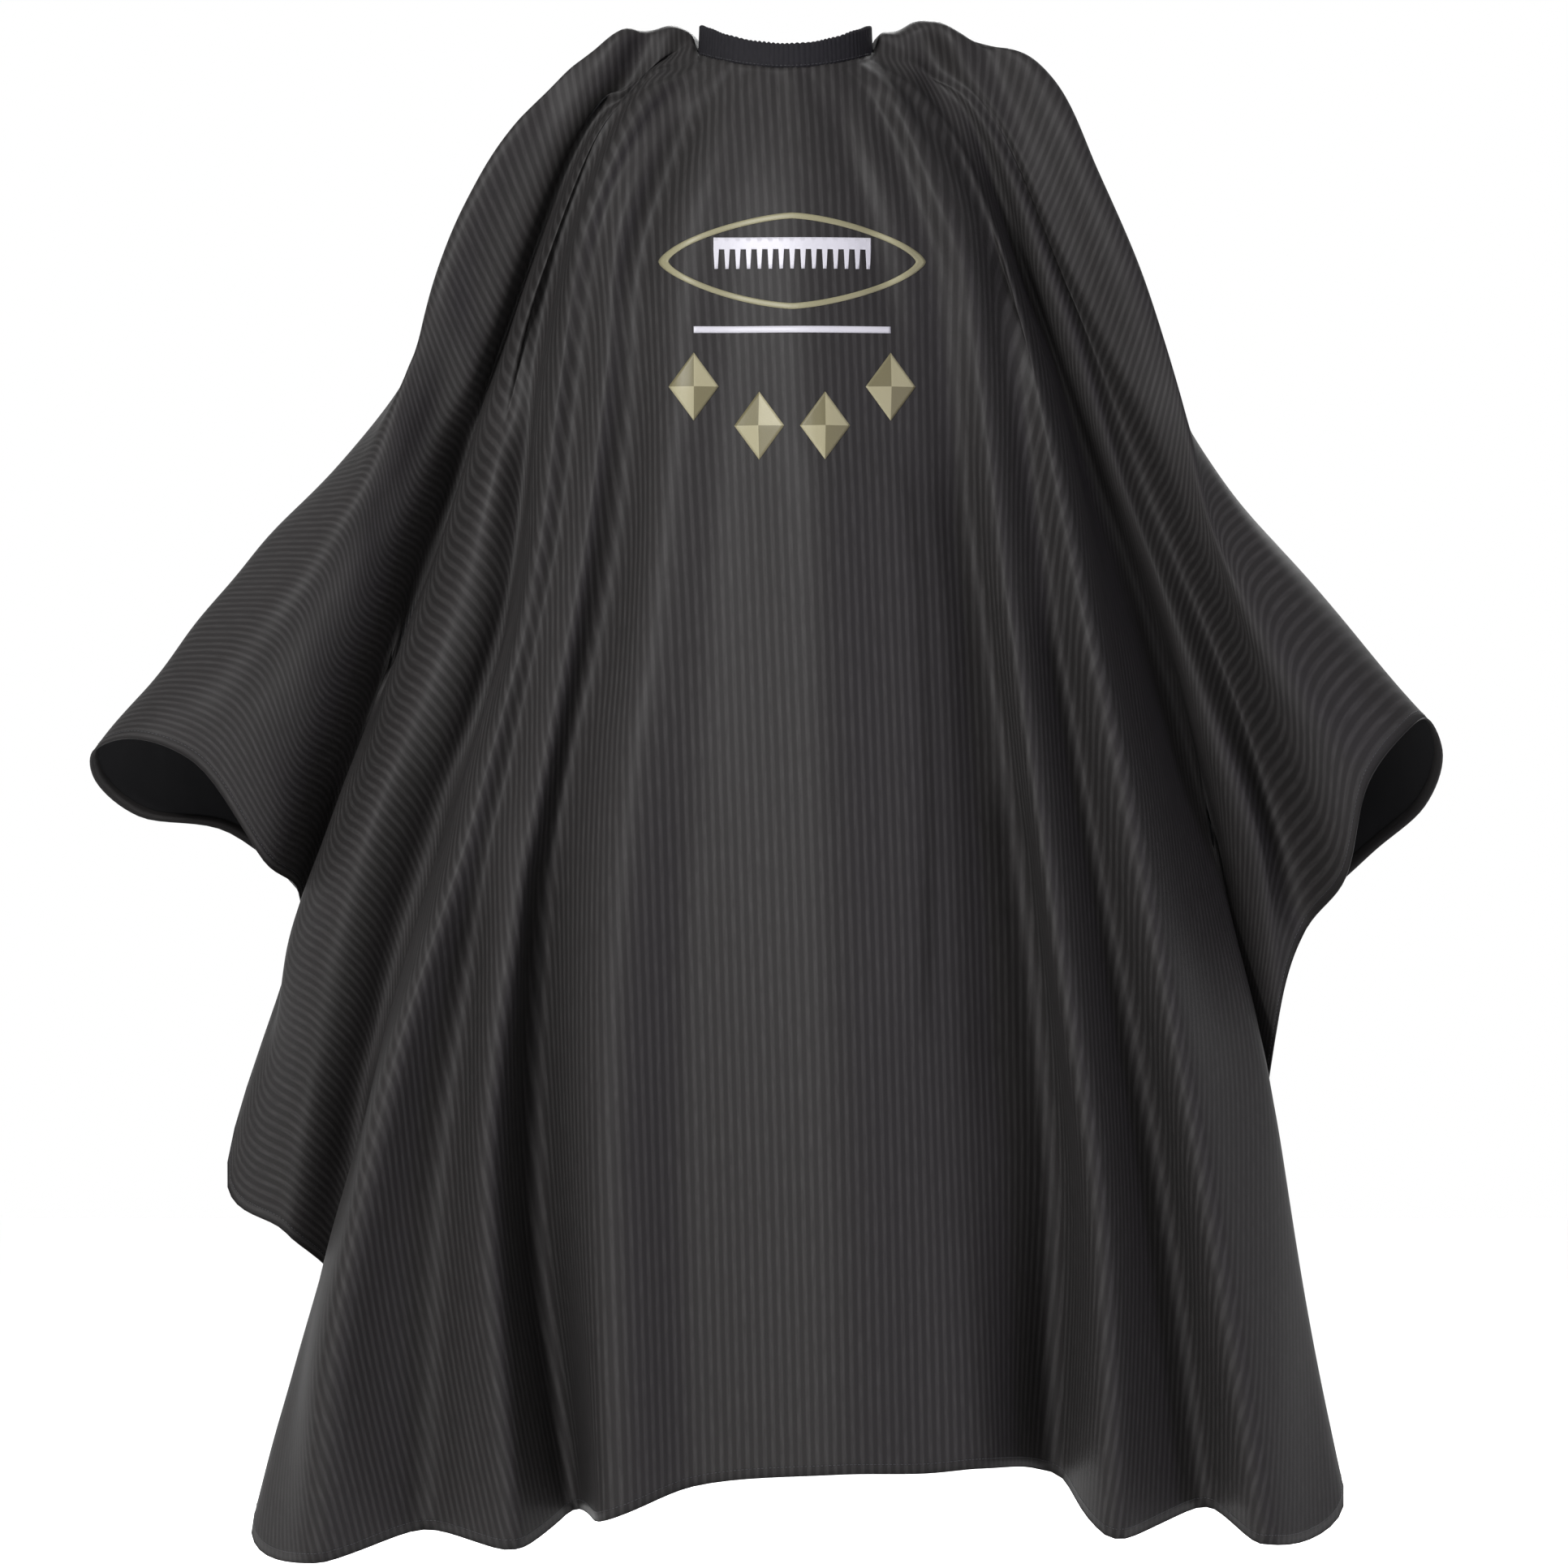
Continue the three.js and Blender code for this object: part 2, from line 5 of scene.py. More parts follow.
import bpy
import numpy as np
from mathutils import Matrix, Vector


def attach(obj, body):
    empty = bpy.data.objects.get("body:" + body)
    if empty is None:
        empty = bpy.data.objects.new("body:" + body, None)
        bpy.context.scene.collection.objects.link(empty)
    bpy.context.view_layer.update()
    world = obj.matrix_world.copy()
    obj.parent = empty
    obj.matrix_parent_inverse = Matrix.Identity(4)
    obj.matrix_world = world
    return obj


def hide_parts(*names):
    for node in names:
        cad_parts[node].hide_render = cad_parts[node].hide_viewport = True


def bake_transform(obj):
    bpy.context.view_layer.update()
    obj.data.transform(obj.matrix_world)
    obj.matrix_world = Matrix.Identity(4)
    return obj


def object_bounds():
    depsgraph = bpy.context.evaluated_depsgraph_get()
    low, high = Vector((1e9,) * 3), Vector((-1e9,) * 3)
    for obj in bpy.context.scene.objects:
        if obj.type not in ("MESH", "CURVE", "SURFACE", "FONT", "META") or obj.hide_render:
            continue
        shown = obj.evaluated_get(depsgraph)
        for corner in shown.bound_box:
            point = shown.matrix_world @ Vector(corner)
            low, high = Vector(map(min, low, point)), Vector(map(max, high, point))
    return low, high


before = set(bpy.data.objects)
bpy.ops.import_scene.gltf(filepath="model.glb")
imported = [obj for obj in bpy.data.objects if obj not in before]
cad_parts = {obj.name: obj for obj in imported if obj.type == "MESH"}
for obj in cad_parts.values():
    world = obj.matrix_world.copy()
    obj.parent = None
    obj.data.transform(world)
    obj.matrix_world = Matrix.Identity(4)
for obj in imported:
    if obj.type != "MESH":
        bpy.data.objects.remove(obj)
cad_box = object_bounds()
lowest_z = cad_box[0][2]

# ----------------------------------------------------------------------------------------------------------
# Studio: a white floor under the cape, a white surround, and soft lamps: a key above and to the left of the
# lens, a faint violet fill from the right, and one behind.
# ----------------------------------------------------------------------------------------------------------
LENS_MM = 400.0
SENSOR_MM = 36.0
VIEW_M = 1.207  # width and height of what the lens takes in, at the neckband's distance
VIEW_CENTRE = (-0.0012, -0.5648)  # x and z of the middle of the view
FLOOR_DROP = 0.09  # the floor lies this far under the hem


def linear(code):
    """The linear RGB of an sRGB hex colour: each channel over 12.92 when small, else ((c + 0.055) / 1.055)
    ** 2.4.
    """
    channels = np.array([int(code[i : i + 2], 16) for i in (1, 3, 5)]) / 255
    values = np.where(channels <= 0.04045, channels / 12.92, ((channels + 0.055) / 1.055) ** 2.4)
    return (*values.tolist(), 1.0)


def node(material, kind, settings=None, **links):
    """Adds a node. Settings are its own properties, or socket names with values; links join sockets to
    inputs.
    """
    tree = material.node_tree
    made = tree.nodes.new(kind)
    for name, value in (settings or {}).items():
        if isinstance(name, str) and name not in made.inputs:
            setattr(made, name, value)
        else:
            made.inputs[name].default_value = value
    for name, socket in links.items():
        key = int(name[1:]) if name[0] == "_" else name.replace("_", " ")
        tree.links.new(socket, made.inputs[key])
    return made


def new_material(name):
    """An empty material, whose Principled shader and surface output the caller makes last."""
    material = bpy.data.materials.new(name)
    material.use_nodes = True
    material.node_tree.nodes.clear()
    return material


def finish_material(material, settings, **links):
    """Ends a material with a Principled shader that has these uniform settings and these links."""
    shader = node(material, "ShaderNodeBsdfPrincipled", settings, **links)
    node(material, "ShaderNodeOutputMaterial", None, Surface=shader.outputs["BSDF"])
    return material


def noise(material, place, scale, detail):
    """The factor of a noise texture read at a place."""
    return node(material, "ShaderNodeTexNoise", {"Scale": scale, "Detail": detail},
                Vector=place).outputs["Fac"]


def two_tones(material, dark, light, factor):
    """The colour between two sRGB colours that a factor picks."""
    return node(material, "ShaderNodeMix", {"data_type": "RGBA", 6: linear(dark), 7: linear(light)},
                Factor=factor).outputs[2]


def bumped(material, height, strength, distance):
    """The normal of a fine relief, with its depth in metres."""
    return node(material, "ShaderNodeBump", {"Strength": strength, "Distance": distance},
                Height=height).outputs["Normal"]


def arithmetic(material, operation, first, second=None):
    """The result of one operation on a socket and, where it takes a second value, a socket or a number."""
    settings, links = {"operation": operation}, {"_0": first}
    if isinstance(second, bpy.types.NodeSocket):
        links["_1"] = second
    elif second is not None:
        settings[1] = second
    return node(material, "ShaderNodeMath", settings, **links).outputs[0]


def object_place(material):
    """The place on the object, in metres."""
    return node(material, "ShaderNodeTexCoord").outputs["Object"]


def flat_place(material):
    """The place on the flat cloth, in metres."""
    return node(material, "ShaderNodeUVMap", {"uv_map": "flat"}).outputs["UV"]


def split(material, place):
    """The separate X and Y of a place."""
    parts = node(material, "ShaderNodeSeparateXYZ", None, Vector=place)
    return parts.outputs["X"], parts.outputs["Y"]


scene = bpy.context.scene
scene.view_settings.view_transform = "Standard"

camera = bpy.data.objects.new("camera", bpy.data.cameras.new("camera"))
camera.data.lens = LENS_MM
camera.data.sensor_width = SENSOR_MM
distance = VIEW_M * LENS_MM / SENSOR_MM
camera.location = (VIEW_CENTRE[0], -distance, VIEW_CENTRE[1])
camera.rotation_euler = (np.pi / 2, 0, 0)
camera.data.clip_end = 50
scene.collection.objects.link(camera)
scene.camera = camera

world = bpy.data.worlds.new("surround")
world.use_nodes = True
world.node_tree.nodes["Background"].inputs["Color"].default_value = linear("#ffffff")
world.node_tree.nodes["Background"].inputs["Strength"].default_value = 1.0
scene.world = world


def lamp(name, place, aim, size, watts, tint="#ffffff"):
    """A square soft lamp that looks from place to aim."""
    data = bpy.data.lights.new(name, "AREA")
    data.size = size
    data.energy = watts
    data.color = linear(tint)[:3]
    made = bpy.data.objects.new(name, data)
    made.location = place
    made.rotation_euler = (Vector(aim) - Vector(place)).to_track_quat("-Z", "Y").to_euler()
    scene.collection.objects.link(made)


lamp("key", (-1.9, -3.6, 1.8), (0, 0, -0.35), 0.6, 500)
lamp("fill", (3.6, -2.6, 0.1), (0, 0, -0.6), 1.0, 60, "#e6dcff")
lamp("back", (0.6, 3.2, 1.6), (0, 0, -0.5), 1.8, 200)

# Painted board: matt white paint rolled on, so it has only a faint mottle.
floor_paint = new_material("floor_paint")
floor_tone = two_tones(floor_paint, "#fbfbfb", "#ffffff",
                       noise(floor_paint, object_place(floor_paint), 6.0, 2.0))
finish_material(floor_paint, {"Roughness": 0.9, "Specular IOR Level": 0.2}, Base_Color=floor_tone)
floor_data = bpy.data.meshes.new("floor")
reach = 14.0
floor_z = lowest_z - FLOOR_DROP
floor_data.from_pydata(
    [(-reach, -reach, floor_z), (reach, -reach, floor_z), (reach, reach, floor_z), (-reach, reach, floor_z)],
    [], [(0, 1, 2, 3)])
floor_data.materials.append(floor_paint)
floor = bpy.data.objects.new("floor", floor_data)
scene.collection.objects.link(floor)

# ----------------------------------------------------------------------------------------------------------
# Cape cloth: one rectangle of thin black polyester, woven with narrow grey pinstripes, with a round neck hole
# and a slit to the back hem. Gathered to the neckband, it falls in ridges and valleys that run from the seam
# to the hem.
# ----------------------------------------------------------------------------------------------------------
MM = 0.001
CLOTH_MM = 0.5  # drawn thicker than the real 0.2 mm or so
COLUMNS_PER_LINE = 8
ROW_COUNT = 150
BAND_RADIUS, BAND_LEAN, BAND_HALF = 65.8, 1.0, 1.7
BAND_TOP_MEAN, BAND_TOP_SWING = 10.0, 8.0
BAND_HEIGHT, BAND_SIDE_EXTRA = 18.0, 4.0
SEAM_DROP = 1.2
HINGE_AZIMUTH, SLIT_AZIMUTH = 147.0, 178.6
BACK_HINGE_HEM = (92, 152, -428)
BACK_SLIT_HEM = (3, 166, -420)
TUCK_MM = 2.0  # how far the cloth reaches up into the band
NECK_HOLE = 67.0  # radius of the seam, where the flat measure starts

# Each drape line: azimuth on the neck (0 in front, growing to each side), then the points it passes through,
# in mm.
RIGHT_LINES = (
  (14, (42, -112, -118), (72, -152, -380), (92, -182, -720), (105, -198, -1088)),  # slope beside the middle
  (24, (72, -105, -116), (110, -132, -390), (120, -162, -700), (150, -176, -1085)),  # soft crease
  (36, (76, -66, -60), (106, -92, -130), (124, -102, -235), (143, -106, -380), (183, -114, -660),
   (203, -108, -880),
    (203, -92, -1092)),  # deep valley
  (46, (92, -64, -55), (132, -94, -130), (150, -114, -250), (165, -134, -390), (205, -160, -680),
   (240, -176, -900),
    (250, -176, -1138)),  # ridge from the collar
  (56, (104, -50, -50), (150, -72, -130), (176, -80, -250), (196, -88, -380), (238, -98, -620),
   (292, -104, -900),
    (322, -94, -1118)),  # valley
  (65, (114, -44, -45), (164, -66, -140), (192, -86, -250), (222, -106, -400), (275, -126, -640),
   (325, -146, -900),
    (368, -146, -1144)),  # ridge of the front corner
  (70, (122, -36, -45), (180, -46, -170), (214, -50, -290), (252, -50, -450), (328, -34, -690),
   (366, -34, -800),
    (427, -44, -1119)),
  (75, (130, -26, -40), (190, -12, -190), (232, -4, -320), (272, 6, -430), (328, 22, -600), (350, 34, -740),
    (366, 66, -930)),  # armpit
  (80, (136, -24, -35), (208, -22, -190), (264, -14, -345), (330, -14, -520), (364, -8, -610),
   (384, 8, -724)),
  (84, (140, -18, -30), (218, -12, -185), (288, -2, -360), (355, 12, -520), (402, 26, -676)),  # under the arm
  (87, (142, -18, -22), (228, -34, -180), (298, -42, -330), (362, -50, -470), (430, -22, -637)),
  (90, (128, -14, 9), (196, -22, -14), (240, -32, -95), (292, -42, -225), (332, -54, -370), (398, -58, -485),
    (448, -44, -563)),  # shoulder fold, then the front of the arm
  (93, (118, -2, 14), (188, -6, -26), (234, -10, -120), (285, -22, -245), (345, -30, -350), (412, -32, -445),
    (478, -28, -524)),
  (97, (108, 12, 12), (178, 12, -38), (226, 12, -140), (282, 14, -265), (330, 16, -322), (398, 16, -404),
    (496, 4, -514)),  # top of the arm
  (102, (104, 26, 7), (174, 40, -45), (232, 52, -150), (300, 60, -290), (380, 60, -395), (508, 30, -542)),
  (108, (98, 42, 0), (170, 72, -60), (240, 94, -180), (320, 104, -330), (410, 98, -470), (495, 66, -582)),
  (115, (88, 54, -8), (165, 98, -85), (240, 126, -220), (320, 136, -390), (390, 128, -520), (452, 96, -621)),
  (121, (80, 64, -15), (146, 112, -110), (218, 144, -260), (286, 156, -430), (336, 150, -570),
   (374, 122, -700)),
  (127, (72, 70, -22), (124, 118, -130), (192, 150, -300), (252, 168, -480), (328, 150, -790)),  # back corner
  (134, (60, 76, -28), (98, 128, -140), (150, 170, -300), (196, 196, -470), (236, 204, -640)),  # back ridge
  (141, (50, 68, -40), (78, 98, -150), (104, 118, -280), (128, 126, -400), (150, 122, -512)),  # back valley
)
LEFT_LINES = (
  (14, (-30, -112, -118), (-50, -148, -380), (-70, -176, -720), (-70, -192, -1098)),  # soft valley
  (26, (-62, -108, -116), (-98, -152, -390), (-132, -188, -700), (-135, -208, -1123)),  # broad ridge
  (38, (-68, -66, -60), (-100, -90, -130), (-114, -102, -235), (-130, -110, -380), (-180, -118, -640),
    (-190, -112, -880), (-163, -96, -1121)),  # deep valley
  (48, (-84, -62, -52), (-122, -92, -130), (-138, -110, -250), (-154, -124, -390), (-200, -146, -640),
    (-226, -160, -870), (-206, -166, -1147)),  # ridge from the collar
  (57, (-98, -52, -48), (-140, -74, -130), (-158, -86, -250), (-174, -98, -380), (-232, -114, -650),
    (-270, -122, -870), (-276, -122, -1134)),
  (63, (-108, -50, -45), (-156, -74, -140), (-174, -90, -260), (-190, -102, -390), (-242, -122, -600),
    (-300, -146, -780), (-343, -168, -980), (-358, -174, -1157)),  # ridge of the front corner
  (68, (-117, -40, -46), (-170, -58, -165), (-188, -70, -290), (-202, -80, -410), (-254, -96, -590),
    (-312, -102, -780), (-353, -92, -930), (-407, -84, -1138)),
  (72, (-124, -32, -44), (-180, -42, -175), (-200, -48, -310), (-216, -52, -430), (-262, -48, -575),
    (-310, -36, -740), (-333, -12, -880), (-340, 10, -960)),
  (76, (-130, -32, -42), (-190, -46, -180), (-226, -58, -330), (-266, -68, -470), (-320, -66, -600),
    (-352, -56, -720), (-384, -44, -909)),  # ridge of the side fold
  (80, (-136, -26, -44), (-200, -28, -190), (-242, -32, -320), (-286, -30, -440), (-346, -20, -590),
    (-381, -8, -700), (-402, 2, -785), (-431, 8, -875)),
  (84, (-142, -18, -46), (-210, -10, -200), (-254, 0, -330), (-300, 8, -450), (-346, 20, -580),
    (-374, 34, -656)),  # armpit
  (87, (-146, -20, -48), (-238, -32, -230), (-302, -38, -370), (-360, -42, -500), (-401, -26, -624)),
  (90, (-128, -14, 9), (-205, -26, -57), (-246, -34, -122), (-285, -42, -226), (-328, -54, -350),
   (-392, -58, -460),
    (-453, -42, -549)),  # shoulder fold, then the front of the arm
  (93, (-118, -2, 12), (-193, -6, -66), (-240, -12, -160), (-296, -26, -262), (-362, -32, -368),
   (-435, -32, -458),
    (-501, -28, -530)),
  (97, (-108, 12, 9), (-183, 14, -72), (-240, 16, -170), (-300, 18, -258), (-335, 18, -312), (-412, 18, -390),
    (-533, 4, -540)),  # top of the arm
  (102, (-102, 26, 6), (-178, 42, -78), (-240, 54, -190), (-310, 60, -310), (-410, 56, -440),
   (-532, 32, -563)),
  (108, (-95, 42, 0), (-170, 74, -85), (-240, 94, -210), (-320, 102, -350), (-410, 94, -490),
   (-500, 64, -590)),
  (115, (-86, 54, -8), (-160, 98, -100), (-230, 124, -250), (-305, 134, -400), (-365, 126, -520),
   (-430, 94, -603)),
  (121, (-80, 64, -15), (-148, 112, -120), (-220, 142, -280), (-283, 152, -440), (-326, 146, -560),
   (-360, 124, -672)),
  # back corner
  (127, (-72, 70, -22), (-124, 118, -130), (-192, 150, -300), (-254, 168, -480), (-332, 150, -770)),
  # back ridge
  (134, (-60, 76, -28), (-98, 128, -140), (-150, 170, -300), (-196, 196, -470), (-238, 204, -634)),
  # back valley
  (141, (-50, 68, -40), (-78, 98, -150), (-104, 118, -280), (-128, 126, -400), (-150, 122, -508)),
)
FRONT_LINE = (0, (6, -118, -120), (18, -168, -380), (30, -202, -720), (38, -224, -1088))


def band_top(azimuth):
    """Height of the band's top edge: highest at the sides of the neck, lowest at front and back."""
    return BAND_TOP_MEAN - BAND_TOP_SWING * np.cos(2 * np.radians(azimuth))


def band_foot(azimuth):
    """Height of the band's lower edge: the top edge less the band's height, which grows a little at the
    sides.
    """
    return band_top(azimuth) - BAND_HEIGHT - BAND_SIDE_EXTRA * np.sin(np.radians(azimuth)) ** 2


def around(azimuth, radius, height):
    """Points round the neck: radius times (sine, minus cosine) of the azimuth, at a height."""
    a = np.radians(azimuth)
    return np.stack(np.broadcast_arrays(radius * np.sin(a), -radius * np.cos(a), height), -1)


def seam(azimuth):
    """The neck seam, just under the band's lower edge."""
    return around(azimuth, BAND_RADIUS + 1.2, band_foot(azimuth) - SEAM_DROP)


def spline(points, places):
    """Centripetal Catmull-Rom curve through points[0], points[1] and so on, read at fractional places
    along them.
    """
    first, last = 2 * points[0] - points[1], 2 * points[-1] - points[-2]
    padded = np.concatenate([first[None], points, last[None]])
    index = np.clip(np.floor(places).astype(int), 0, len(points) - 2)
    w = (places - index).reshape(-1, *[1] * (points.ndim - 1))
    p0, p1, p2, p3 = (padded[index + k] for k in range(4))
    step = [np.maximum(np.linalg.norm(b - a, axis=-1, keepdims=True), 1e-6) ** 0.5
            for a, b in ((p0, p1), (p1, p2), (p2, p3))]
    leave = ((p1 - p0) / step[0] - (p2 - p0) / (step[0] + step[1]) + (p2 - p1) / step[1]) * step[1]
    arrive = ((p2 - p1) / step[1] - (p3 - p1) / (step[1] + step[2]) + (p3 - p2) / step[2]) * step[1]
    return (p1 + leave * w + (3 * (p2 - p1) - 2 * leave - arrive) * w**2
            + (2 * (p1 - p2) + leave + arrive) * w**3)


def even_along(points, shares):
    """Points at these shares of a curve's length."""
    fine = spline(np.asarray(points, float), np.linspace(0, len(points) - 1, 600))
    walked = np.concatenate([[0], np.cumsum(np.linalg.norm(np.diff(fine, axis=0), axis=1))])
    return np.stack([np.interp(shares * walked[-1], walked, fine[:, k]) for k in range(3)], -1)


def straight(azimuth, side, hem):
    """A back line: straight from the seam to its point on the hem.
    """
    start, end = seam(side * azimuth), np.array([side * hem[0], hem[1], hem[2]], float)
    return (azimuth, *[start + (end - start) * t for t in (0.25, 0.5, 0.75, 1)])


def both_back_lines(side):
    """The hinge line and the slit line of one side."""
    return [straight(HINGE_AZIMUTH, side, BACK_HINGE_HEM), straight(SLIT_AZIMUTH, side, BACK_SLIT_HEM)]


left_to_right = [(-azimuth, *points) for azimuth, *points in reversed([*LEFT_LINES, *both_back_lines(-1)])]
drape_lines = [*left_to_right, FRONT_LINE, *RIGHT_LINES, *both_back_lines(1)]
line_azimuth = np.array([line[0] for line in drape_lines], float)
front_place = len(left_to_right)

# Rows crowd towards the neck, where the cloth turns over the shoulders and is puckered by the elastic.
row_share = np.linspace(0, 1, ROW_COUNT) ** 1.25
stations = np.stack([even_along([seam(line[0]), *line[1:]], row_share) for line in drape_lines])
places = np.linspace(0, len(drape_lines) - 1, (len(drape_lines) - 1) * COLUMNS_PER_LINE + 1)
cloth = spline(stations, places)
azimuth = np.interp(places, np.arange(len(drape_lines)), line_azimuth)


def grid_normals(grid):
    """Outward unit normals of a grid of points: the way down crossed with the way across."""
    across, down = np.gradient(grid, axis=0), np.gradient(grid, axis=1)
    normal = np.cross(down, across)
    return normal / np.maximum(np.linalg.norm(normal, axis=-1, keepdims=True), 1e-9)


def arc(grid, axis):
    """Lengths of a grid's steps along an axis, with a zero for the first."""
    step = np.linalg.norm(np.diff(grid, axis=axis), axis=-1)
    return np.concatenate([np.zeros_like(step.take([0], axis)), step], axis)


# Flat measure: across is along the stripes' spacing and along runs front to back, both in mm from the neck's
# centre. A row's direction in the flat cloth turns from the neck hole's own to the hem's, and the steps add
# up from the middle. This is right in the middle of the front only. On the arms, beside them and behind, the
# stripes run across and curve, where in real cloth they run straight from front hem to back hem.
hem_turn = np.interp(azimuth, [-131, -124, -74, -66, 66, 74, 124, 131], [-180, -90, -90, 0, 0, 90, 90, 180])
turn = np.radians(azimuth[:, None] * (1 - row_share) + hem_turn[:, None] * row_share)
row_step = arc(cloth, 0)
middle = front_place * COLUMNS_PER_LINE
down_length = np.cumsum(arc(cloth, 1), 1)
across = np.cumsum(row_step * np.cos(turn), 0)
along = np.cumsum(row_step * np.sin(turn), 0)
across -= across[middle]
along = along - along[middle] - NECK_HOLE - down_length[middle]

# Soft irregular undulation in the cloth, and small puckers that fan out from the gathered seam and die away.
# There are none beside the neck, where the cloth rolls.
from_seam = down_length
UNDULATION_FROM = 260.0  # the undulation grows to its full height over this length
undulation = (1.7 * np.sin(across / 31 + 0.9 * np.sin(along / 140)) * np.sin(along / 205 + 1.3)
              + 1.3 * np.sin(across / 47 - along / 260 + 0.7) + 0.8 * np.sin(across / 19 + along / 330 + 2.1))
undulation *= np.clip(from_seam / UNDULATION_FROM, 0, 1)
around_neck = azimuth[:, None]
gathers = around_neck * 0.62 + 1.4 * np.sin(around_neck / 9) + 0.8 * np.sin(around_neck / 3.1 + 1)
SMALL_PUCKERS, LARGE_PUCKERS = (0.9, 1.55, 26), (1.6, 0.43, 70)  # height, how close together, length
puckers = sum(height * np.sin(gathers * closeness) * np.exp(-from_seam / length)
              for height, closeness, length in (SMALL_PUCKERS, LARGE_PUCKERS))
SMOOTH_AT, SMOOTH_WIDTH = 84, 34  # azimuth beside the neck without puckers, and half that stretch's width
puckered = 1 - np.exp(-(((np.abs(around_neck) - SMOOTH_AT) / SMOOTH_WIDTH) ** 4))
puckers *= np.clip(from_seam / 6, 0, 1) * puckered
cloth = cloth + grid_normals(cloth) * (undulation + puckers)[..., None]

# Folds on the front that are finer than the drape lines: height in mm (valleys below zero), half width to the
# left and to the right, then the points (x, z) that the fold runs through, from the collar down.
FOLDS = (
    (11, 10, 16, (-84, 4), (-96, -18), (-116, -50), (-148, -127), (-168, -190)),  # left collar
    (-9, 12, 14, (-106, 6), (-116, -12), (-154, -73), (-176, -140), (-203, -246), (-240, -330)),
    (8, 16, 16, (-124, 10), (-154, -23), (-196, -90), (-221, -164), (-240, -255)),
    (-8, 10, 12, (-152, -14), (-172, -32), (-201, -86), (-223, -146), (-248, -230), (-290, -330)),
    (6, 14, 12, (-206, -58), (-222, -76), (-240, -117), (-256, -165), (-285, -240)),
    (-9, 16, 14, (-66, -30), (-88, -80), (-112, -150), (-128, -220)),
    (6, 14, 20, (-46, -24), (-62, -70), (-84, -150), (-104, -260)),
    (-8, 18, 16, (-165, -150), (-235, -300), (-310, -500), (-365, -640)),  # left armpit
    (5, 16, 20, (-330, -310), (-395, -420), (-450, -500)),  # left arm
    (-5, 14, 14, (-300, -330), (-370, -440), (-420, -520)),
    (7, 18, 16, (-262, -170), (-225, -330), (-235, -450), (-262, -560)),
    (-9, 14, 14, (-196, -400), (-255, -560), (-290, -660), (-322, -790), (-345, -900)),
    (7, 18, 20, (-240, -600), (-270, -680), (-320, -850), (-345, -1000), (-365, -1130)),  # left corner
    (-8, 12, 14, (-232, -650), (-258, -850), (-275, -1130)),
    (7, 12, 10, (-206, -560), (-224, -700), (-228, -850), (-208, -1130)),
    (-11, 9, 14, (-188, -600), (-192, -760), (-188, -920), (-160, -1110)),
    (6, 26, 30, (-128, -480), (-136, -760), (-128, -1000), (-118, -1120)),
    (-4, 20, 20, (-72, -560), (-74, -860), (-66, -1100)),
    (5, 34, 38, (34, -300), (34, -600), (40, -900), (40, -1100)),  # middle
    (5, 28, 7, (84, -300), (98, -420), (104, -600), (100, -740)),
    (-7, 12, 34, (122, -310), (140, -450), (150, -640), (160, -820)),
    (-10, 12, 12, (168, -560), (188, -700), (204, -860), (206, -1110)),
    (8, 12, 14, (176, -420), (205, -640), (232, -850), (250, -1110)),
    (-8, 12, 14, (198, -420), (232, -600), (280, -820), (318, -1110)),
    (7, 18, 16, (222, -420), (262, -600), (315, -850), (360, -1125)),  # right corner
    (-8, 16, 14, (150, -130), (206, -260), (256, -380), (306, -520), (352, -700)),  # right armpit
    (5, 14, 14, (318, -370), (380, -480), (440, -560)),
    (5, 12, 14, (318, -500), (352, -580), (392, -660)),
    (11, 10, 9, (68, -10), (78, -32), (94, -66), (118, -125), (136, -170)),  # right collar
    (-9, 10, 14, (98, 4), (112, -20), (134, -72), (162, -140), (190, -230)),
    (7, 14, 14, (124, 12), (146, -20), (176, -90), (204, -170), (232, -250)),
    (-7, 10, 12, (152, -6), (176, -42), (206, -100), (234, -180), (270, -260)),
    (6, 14, 14, (186, -20), (214, -70), (244, -140), (276, -215)),
    (-8, 16, 9, (40, -30), (52, -80), (72, -150), (88, -230)),
)
FOLD_FADE = 70.0  # a fold rises and dies away over this length
BELOW_COLLAR = -60  # a fold that starts below this z rises slowly, any other is at full height from its start
ABOVE_HEM = -1050  # a fold that ends above this z dies away, any other runs into the hem


def front_folds(grid):
    """Height of all folds at each point: a bell across each fold's path, faded at the path's ends."""
    x, z = grid[..., 0], grid[..., 2]
    total = np.zeros(x.shape)
    for height, left_width, right_width, *path in FOLDS:
        path_x, path_z = np.array(path, float)[::-1].T
        lean = np.gradient(path_x, path_z)
        off = (x - np.interp(z, path_z, path_x)) / np.sqrt(1 + np.interp(z, path_z, lean) ** 2)
        bell = np.exp(-(off / np.where(off < 0, left_width, right_width)) ** 2)
        if path_z[-1] < BELOW_COLLAR:
            into = np.clip((path_z[-1] + 12 - z) / FOLD_FADE, 0, 1)
        else:
            into = np.clip(path_z[-1] + 30 - z, 0, 1)
        out_of = np.clip((z - path_z[0]) / FOLD_FADE + 0.35, 0, 1) if path_z[0] > ABOVE_HEM else 1.0
        total += height * bell * into**2 * (3 - 2 * into) * out_of
    return total


